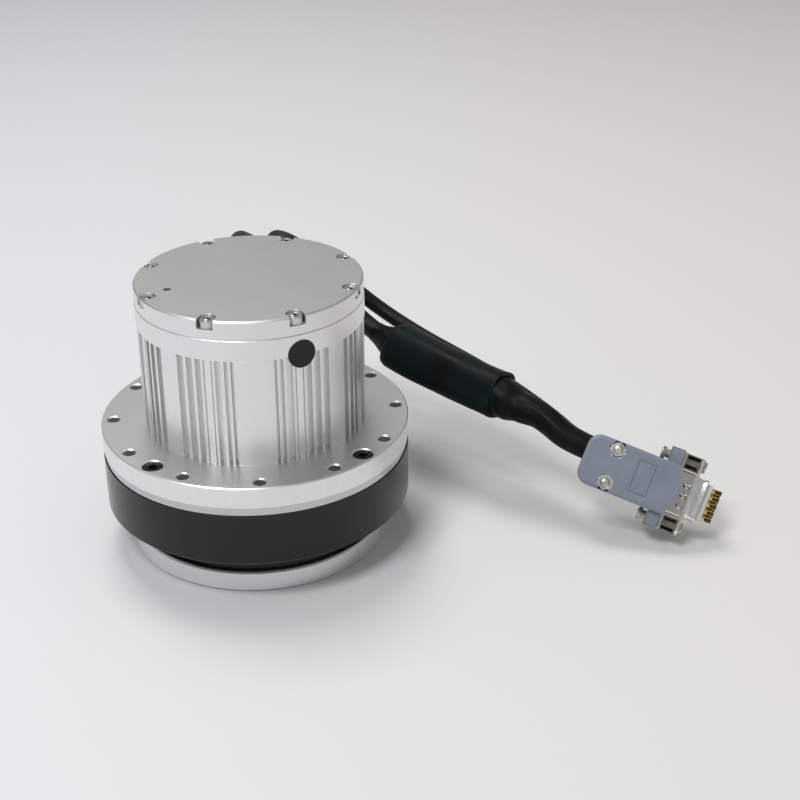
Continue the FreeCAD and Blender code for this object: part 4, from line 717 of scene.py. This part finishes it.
class ACTUATOR_OT_metal(bpy.types.Operator):
    """Finishes of the turned, extruded and ground parts"""
    bl_idname = "actuator.metal"
    bl_label = "Metal finishes"

    def execute(self, context):
        colours = context.scene.actuator_colours
        silver = tuple(colours.silver)
        turned_height = 8.2 * MM
        turned_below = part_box("motor_housing")[0].z + turned_height
        wear(finish_blasted("cover_anodised", tuple(colours.cover), 0.52, silver, 0.40), "rear_cover")
        wear(finish_extruded("body_anodised", silver, 0.38, turned_below), "motor_housing")
        wear(finish_turned("band_anodised", silver, 0.36, marks=0.4, edge=0.25), "drive_housing")
        wear(finish_turned("disc_turned", (0.88, 0.88, 0.885), 0.36, marks=0.6, edge=0.25), "output_flange")
        wear(finish_turned("spline_polished", (0.56, 0.56, 0.57), 0.13, marks=0.5, edge=0.3),
             "circular_spline")
        wear(finish_turned("case_black", tuple(colours.black), 0.20, metallic=0.0, mottle=0.15, edge=6.0,
                           Specular_IOR_Level=0.36), "gear_case")
        ground = finish_turned("ground_steel", (0.50, 0.50, 0.51), 0.22)
        wear(ground, "cross_roller_outer_ring", "cross_roller_inner_ring", "cross_rollers", "wave_outer_race",
             "wave_inner_race", "wave_balls", "shaft_bearing_outer_rings", "shaft_bearing_inner_rings",
             "shaft_bearing_balls", "bearing_lock_nut", "flexspline", "flexspline_clamp_ring", "rotor_shaft",
             "rotor_core")
        wear(finish_turned("plug_turned", (0.33, 0.33, 0.34), 0.34), "wave_generator_plug")
        return {"FINISHED"}


class ACTUATOR_OT_inside(bpy.types.Operator):
    """Finishes of the motor, the boards and the seals"""
    bl_idname = "actuator.inside"
    bl_label = "Inside finishes"

    def execute(self, context):
        wear(finish_laminated("stator_steel"), "stator_core")
        wear(finish_copper("winding_wire"), "stator_windings")
        wear(finish_hardware("magnet_plating", (0.6, 0.6, 0.6), 0.25), "rotor_magnets", "encoder_magnet")
        wear(finish_board("solder_mask"), "drive_board", "encoder_board")
        wear(finish_moulded("chip_epoxy", (0.02, 0.02, 0.02), 0.5), "drive_components", "encoder_read_head")
        wear(finish_hardware("brass", (0.68, 0.46, 0.18), 0.3), "board_standoffs")
        wear(finish_hardware("black_oxide", (0.03, 0.03, 0.03), 0.35), "flexspline_bolts", "wave_plug_screw",
             "board_screws")
        wear(finish_moulded("seal_rubber", (0.014, 0.014, 0.014), 0.55), "output_seal", "shaft_seal",
             "case_o_ring", "cable_grommets")
        wear(finish_film("label_film"), "inspection_label")
        return {"FINISHED"}


class ACTUATOR_OT_plug(bpy.types.Operator):
    """Finishes of the hood, the plug and the mated socket"""
    bl_idname = "actuator.plug"
    bl_label = "Plug finishes"

    def execute(self, context):
        colours = context.scene.actuator_colours
        wear(finish_moulded("hood_moulded", tuple(colours.hood), 0.42), "hood_front_shell", "hood_back_shell")
        nickel = finish_hardware("nickel", (0.55, 0.53, 0.48), 0.17, stain=0.04)
        # Painted shade: the bracket's tin is painted dark khaki for the shade in its channel, its edges
        # painted far lighter as painted edge highlights.
        shaded_bracket = finish_hardware("bracket_painted_shade", (0.29, 0.268, 0.225), 0.24, stain=0.06, edge=1.7)
        tin = finish_hardware("tinned", (0.86, 0.85, 0.81), 0.2, stain=0.03)
        # Painted dark reflection: a darker copy of the tin, worn by the plug shell and its dimples.
        shaded_tin = finish_hardware("tinned_painted_reflection", (0.66, 0.64, 0.59), 0.17, stain=0.05)
        bright = finish_hardware("nickel_bright", (0.80, 0.77, 0.71), 0.27, stain=0.05)
        gold = finish_hardware("gold", (0.86, 0.68, 0.30), 0.28, stain=0.08)
        # Painted shade: a dark gold-brown laid inside the solder cups' wells.
        well_shade = finish_hardware("gold_painted_well_shade", (0.16, 0.11, 0.045), 0.42, stain=0.2)
        wear(nickel, "hood_screws", "ear_clips", "bracket_screws")
        wear(shaded_bracket, "bracket_standoffs")
        wear(shaded_tin, "plug_shell")
        wear(tin, "socket_shell")
        wear(finish_moulded("insulator_dark", (0.02, 0.02, 0.022), 0.4), "plug_insulator")
        wear(finish_moulded("insulator_pale", (0.62, 0.63, 0.58), 0.4), "socket_insulator")
        wear(gold, "plug_pins")
        made = [self.nuts(bright), self.dimples(shaded_tin), self.back_shell(tin), self.cups(gold, well_shade)]
        self.tie_leads(context.scene.actuator_leads, made + self.jackscrews(nickel))
        return {"FINISHED"}

    def place(self, name, bm, material, slot, body=HOUSING):
        """A piece built in the plug's own frame, put where the plug lies."""
        bmesh.ops.transform(bm, matrix=PLUG_FRAME, verts=bm.verts[:])
        return new_piece(name, bm, material, body)

    def nuts(self, material):
        """Two chamfered nuts sunk in the hood, each with the end of its screw in the middle."""
        bm = bmesh.new()
        for spot in NUT_PLACES:
            build_at(bm, spot, nut_on_screw)
        nuts = self.place("hood_nut_pair", bm, material, "nickel_hardware")
        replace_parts(nuts, "hood_nuts")
        return nuts

    def jackscrews(self, material):
        """Slotted jackscrews with a knurled rim, each free to turn in its ear."""
        made = []
        for name, spot in JACKSCREW_PLACES:
            bm = bmesh.new()
            build_at(bm, spot, jackscrew)
            made.append(self.place(name + "_detail", bm, material, "nickel_hardware", name))
            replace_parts(made[-1], name)
        return made

    def dimples(self, material):
        """Three soft-edged dimples that press the two plug shells together."""
        bm = bmesh.new()
        for spot in DIMPLE_PLACES:
            build_at(bm, spot, dimple)
        return self.place("shell_dimples", bm, material, "tinned_shell")

    def back_shell(self, material):
        """The drawn skin of the socket's back: rolled out at the flange and at the open end."""
        bm = bmesh.new()
        drawn = [(-1.69, 0.95), (-1.5, 0.64), (-1.1, 0.46), (-0.85, 0.28), (-0.5, 0.13), (-0.1, 0.06),
                 (0.8, 0.06), (1.25, 0.12), (1.6, 0.27), (1.88, 0.41), (2.2, 0.48), (2.45, 0.42),
                 (2.56, 0.28), (2.56, -0.2)]
        loops = [d_loop(bm, along, grow) for along, grow in drawn]
        for first, second in zip(loops, loops[1:]):
            bridge(bm, first, second)
        return self.place("socket_back_skin", bm, material, "tinned_shell")

    def cups(self, gold, well_shade):
        """Nine solder cups in two rows, scooped open at the end, their wells in a dark material as painted
        shade.
        """
        bm = bmesh.new()
        for spot in CUP_PLACES:
            build_at(bm, spot, solder_cup)
        cups = self.place("solder_cups", bm, gold, "gold_contacts")
        cups.data.materials.append(well_shade)
        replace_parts(cups, "socket_contacts")
        return cups

    def tie_leads(self, sizes, made):
        """Does nothing: the leads and the pieces are left as they are."""


def build_at(bm, place, build):
    """Add a part to a mesh, moved to its place in millimetres."""
    before = len(bm.verts)
    build(bm)
    bm.verts.ensure_lookup_table()
    bmesh.ops.translate(bm, vec=Vector(place) * MM, verts=bm.verts[before:])


def nut_on_screw(bm):
    """A nut with the end of its screw showing in the middle."""
    chamfered_nut(bm, 2.5 * MM, 2.4 * MM, 1.6 * MM)
    tip = [(2.45, 1.53), (2.62, 1.53), (2.74, 1.46), (2.86, 1.2), (2.92, 0.8), (2.94, 0.3)]
    lathe(bm, [(along * MM, reach * MM) for along, reach in tip], 40)


def dimple(bm):
    """A low mound with a squared outline and a soft top."""
    sides = 40
    loops = []
    for level, long, wide, corner in ((0.0, 1.45, 1.2, 3.2), (0.35, 1.36, 1.1, 3.2), (0.75, 1.05, 0.85, 2.8),
                                      (0.95, 0.72, 0.58, 2.5), (1.0, 0.3, 0.25, 2.0)):
        loop = []
        for step in range(sides):
            turn = 2 * math.pi * step / sides
            square = (abs(math.cos(turn)) ** corner + abs(math.sin(turn)) ** corner) ** (-1 / corner)
            spot = Vector((long * square * math.cos(turn), wide * square * math.sin(turn), level))
            loop.append(bm.verts.new(spot * MM))
        loops.append(loop)
    for first, second in zip(loops, loops[1:]):
        bridge(bm, first, second)
    bm.faces.new(loops[0])
    bm.faces.new(loops[-1])


def d_loop(bm, along, grow):
    """A closed rounded D across the plug's axis, grown outwards from the back shell's own outline."""
    wide, high, corner = 7.7 + grow, 4.9 + grow, 2.0 + grow
    lean = 0.176 * high
    arc_steps = 12
    points = [Vector((wide + lean, high)), Vector((-wide - lean, high)), Vector((-wide + lean, -high)),
              Vector((wide - lean, -high))]
    normals = []
    for first, second in zip(points, points[1:] + points[:1]):
        run = (second - first).normalized()
        normals.append(Vector((run.y, -run.x)))
    loop = []
    for index, point in enumerate(points):
        before, after = normals[index - 1], normals[index]
        centre = point - (before + after) * (corner / (1.0 + before.dot(after)))
        for step in range(arc_steps + 1):
            spot = centre + before.slerp(after, step / arc_steps) * corner
            loop.append(bm.verts.new(Vector((along, spot.x, spot.y)) * MM))
    return loop


def solder_cup(bm):
    """A contact along X: a pin end, a solid barrel, and a cup whose wall is scooped away towards +Z."""
    barrel = [(-2.9, 0.5), (-2.8, 0.58), (-1.25, 0.58), (-1.2, 0.85), (-1.1, 0.93), (5.2, 0.93)]
    loops = lathe(bm, [(along * MM, reach * MM) for along, reach in barrel], 48, "X")
    bm.faces.remove(next(face for face in loops[-1][0].link_faces if len(face.verts) > 4))
    bore_reach = 0.7
    steps = 40
    shells, bores = [], []
    for along, half in ((5.2, 0.02), (5.8, 0.02), (6.05, 0.5), (6.35, 1.0), (6.8, 1.32), (8.3, 1.36),
                        (8.62, 1.42), (8.7, 1.46)):
        shell, bore = [], []
        wall_reach = 0.93 if along < 8.6 else 0.88
        for step in range(steps + 1):
            turn = math.pi / 2 + half + (2 * math.pi - 2 * half) * step / steps
            wall_spot = (along, wall_reach * math.cos(turn), wall_reach * math.sin(turn))
            bore_spot = (along, bore_reach * math.cos(turn), bore_reach * math.sin(turn))
            shell.append(bm.verts.new(Vector(wall_spot) * MM))
            bore.append(bm.verts.new(Vector(bore_spot) * MM))
        shells.append(shell)
        bores.append(bore)
    for first, second in zip(shells, shells[1:]):
        for step in range(steps):
            bm.faces.new((first[step], first[step + 1], second[step + 1], second[step]))
    # The bore's faces take slot 1, the dark well material: painted shade inside the cup.
    for first, second in zip(bores, bores[1:]):
        for step in range(steps):
            bm.faces.new((first[step], second[step], second[step + 1], first[step + 1])).material_index = 1
    for index in range(len(shells) - 1):
        for end in (0, steps):
            bm.faces.new((shells[index][end], shells[index + 1][end],
                          bores[index + 1][end], bores[index][end]))
    for step in range(steps):
        bm.faces.new((shells[-1][step], shells[-1][step + 1], bores[-1][step + 1], bores[-1][step]))
    # The cup's floor takes the same painted shade.
    bm.faces.new(bores[0]).material_index = 1


def lathe(bm, outline, sides, axis="Z", groove=0.0, grooved=()):
    """Turn an outline of (place along, radius) round an axis; grooved stations get fine flutes."""
    loops = []
    for station, (along, radius) in enumerate(outline):
        made = []
        for index in range(sides):
            turn = 2 * math.pi * index / sides
            reach = radius - (groove if station in grooved and index % 2 else 0.0)
            flat = (reach * math.cos(turn), reach * math.sin(turn))
            place = (along, *flat) if axis == "X" else (*flat, along)
            made.append(bm.verts.new(place))
        loops.append(made)
    for first, second in zip(loops, loops[1:]):
        bridge(bm, first, second)
    bm.faces.new(loops[0])
    bm.faces.new(loops[-1])
    return loops


def hexagon_reach(half_flats, turn):
    """Distance from a hexagon's middle to its outline, in a direction round it."""
    return half_flats / math.cos((turn + math.pi / 6) % (math.pi / 3) - math.pi / 6)


def chamfered_nut(bm, half_flats, height, bore):
    """A hexagon nut with a washer-turned chamfer and a countersunk bore, standing on Z = 0."""
    sides = 72
    rings = []
    for level, limit, inner in (
            (0.0, math.inf, False), (height * 0.93, math.inf, False), (height, half_flats * 1.07, False),
            (height, bore * 1.14, True), (height - bore * 0.14, bore, True), (0.0, bore, True)):
        made = []
        for index in range(sides):
            turn = 2 * math.pi * index / sides
            reach = limit if inner else min(limit, hexagon_reach(half_flats, turn))
            made.append(bm.verts.new((reach * math.cos(turn), reach * math.sin(turn), level)))
        rings.append(made)
    for first, second in zip(rings, rings[1:]):
        bridge(bm, first, second)
    bridge(bm, rings[-1], rings[0])


def jackscrew(bm):
    """A jackscrew along X: slotted knurled head behind the ear, neck, and threaded shank."""
    head = [(-3.1, 1.75), (-3.0, 2.1), (-2.8, 2.32), (-2.7, 2.35), (-1.7, 2.35), (-1.6, 2.3), (-1.3, 2.1),
            (-1.25, 1.45), (-1.0, 1.45), (-0.95, 1.9), (-0.55, 1.9), (-0.5, 1.45), (-0.35, 1.45), (-0.3, 1.8),
            (0.0, 1.8), (0.02, 1.34), (11.6, 1.34), (11.8, 1.1)]
    loops = lathe(bm, [(along * MM, reach * MM) for along, reach in head], 56, "X", 0.12 * MM, (3, 4))
    slot_half, slot_depth = 0.38 * MM, 0.9 * MM
    for vertex in loops[0] + loops[1]:
        if abs(vertex.co.z) < slot_half:
            vertex.co.x += slot_depth


class ACTUATOR_OT_screws(bpy.types.Operator):
    """Knurled socket cap screws of the cover and the flange"""
    bl_idname = "actuator.screws"
    bl_label = "Cap screws"

    def execute(self, context):
        knurls = context.scene.actuator_screws.knurls
        stainless = finish_hardware("stainless", (0.66, 0.65, 0.63), 0.17, stain=0.04)
        oxide = finish_hardware("screw_oxide", (0.022, 0.022, 0.022), 0.3, metallic=0.8)
        self.ring_of_screws("cover_screw", "cover_screws", count=8, start=22.5, circle=38.5, radius=2.75,
                            height=3.0, key=2.5, knurls=knurls, material=stainless, slot="stainless_screws")
        self.ring_of_screws("joining_screw", "joining_screws", count=4, start=45.0, circle=52.7, radius=3.5,
                            height=4.0, key=3.0, knurls=knurls + 6, material=oxide,
                            slot="black_steel_screws")
        return {"FINISHED"}

    def ring_of_screws(self, name, node, count, start, circle, radius, height, key, knurls, material, slot):
        """Screws round the axis, topped level with their CAD node; sizes in millimetres and degrees."""
        low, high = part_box(node)
        head_low = high.z - height * MM
        for index in range(count):
            turn = math.radians(start + 360.0 * index / count)
            centre = Vector((circle * MM * math.cos(turn), circle * MM * math.sin(turn), head_low))
            bm = cap_screw(radius * MM, height * MM, key * MM, knurls, head_low - low.z, turn + index)
            bmesh.ops.translate(bm, vec=centre, verts=bm.verts[:])
            screw = new_piece("%s_%d" % (name, index + 1), bm, material, HOUSING)
            if index == 0:
                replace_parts(screw, node)


def cap_screw(radius, height, key, knurls, shank, twist):
    """A cap screw with a knurled, chamfered head and a hexagon socket, underside of the head at Z = 0."""
    bm = bmesh.new()
    sides = knurls * 4

    def loop(reach, level, ridge=0.0):
        """A ring round the screw, with grooves as deep as the ridge."""
        made = []
        for index in range(sides):
            turn = 2 * math.pi * index / sides + twist
            groove = ridge if index % 4 == 0 else (0.0 if index % 4 == 2 else 0.5 * ridge)
            far = reach - groove
            made.append(bm.verts.new((far * math.cos(turn), far * math.sin(turn), level)))
        return made

    ridge = 0.045 * radius
    loops = [loop(0.55 * radius, -shank), loop(0.55 * radius, 0.0), loop(radius - 0.08 * radius, 0.0),
             loop(radius, 0.05 * height), loop(radius, 0.09 * height, ridge),
             loop(radius, 0.84 * height, ridge), loop(radius, 0.88 * height),
             loop(0.985 * radius, 0.93 * height), loop(0.93 * radius, 0.985 * height),
             loop(0.86 * radius, height)]
    for first, second in zip(loops, loops[1:]):
        bridge(bm, first, second)

    def hexagon(level, grow=1.0):
        """A ring of the socket's six flats."""
        made = []
        for index in range(sides):
            turn = 2 * math.pi * index / sides + twist
            far = hexagon_reach(grow * key / 2, turn)
            made.append(bm.verts.new((far * math.cos(turn), far * math.sin(turn), level)))
        return made

    mouth = hexagon(height, 1.13)
    bridge(bm, loops[-1], mouth)
    wall = hexagon(height - 0.06 * height)
    bridge(bm, mouth, wall)
    base = hexagon(0.45 * height)
    bridge(bm, wall, base)
    cone = [bm.verts.new((0.15 * v.co.x, 0.15 * v.co.y, 0.32 * height)) for v in base]
    bridge(bm, base, cone)
    bm.faces.new(cone)
    bm.faces.new(loops[0])
    return bm


class ACTUATOR_PT_panel(bpy.types.Panel):
    """Lists the actuator's sizes, colours and pieces"""
    bl_label = "Joint Actuator"
    bl_idname = "ACTUATOR_PT_panel"
    bl_space_type = "VIEW_3D"
    bl_region_type = "UI"
    bl_category = "Actuator"

    def draw(self, context):
        scene = context.scene
        for group in (scene.actuator_leads, scene.actuator_colours, scene.actuator_screws):
            box = self.layout.box()
            for name in group.__annotations__:
                box.prop(group, name)
        for operator in PIECES:
            self.layout.operator(operator.bl_idname)


PIECES = (ACTUATOR_OT_stage, ACTUATOR_OT_leads, ACTUATOR_OT_sleeves, ACTUATOR_OT_metal, ACTUATOR_OT_inside,
          ACTUATOR_OT_plug, ACTUATOR_OT_screws)
CLASSES = (ActuatorLeads, ActuatorColours, ActuatorScrews, *PIECES, ACTUATOR_PT_panel)


def register():
    """Add the settings, the operators and the panel to Blender."""
    for made in CLASSES:
        bpy.utils.register_class(made)
    bpy.types.Scene.actuator_leads = PointerProperty(type=ActuatorLeads)
    bpy.types.Scene.actuator_colours = PointerProperty(type=ActuatorColours)
    bpy.types.Scene.actuator_screws = PointerProperty(type=ActuatorScrews)


def unregister():
    """Take them out again."""
    del bpy.types.Scene.actuator_screws
    del bpy.types.Scene.actuator_colours
    del bpy.types.Scene.actuator_leads
    for made in reversed(CLASSES):
        bpy.utils.unregister_class(made)


def main():
    """Register the settings, operators and panel, and run every operator once."""
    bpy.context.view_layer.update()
    register()
    for operator in PIECES:
        getattr(bpy.ops.actuator, operator.bl_idname.split(".")[1])()


if __name__ == "__main__":
    main()
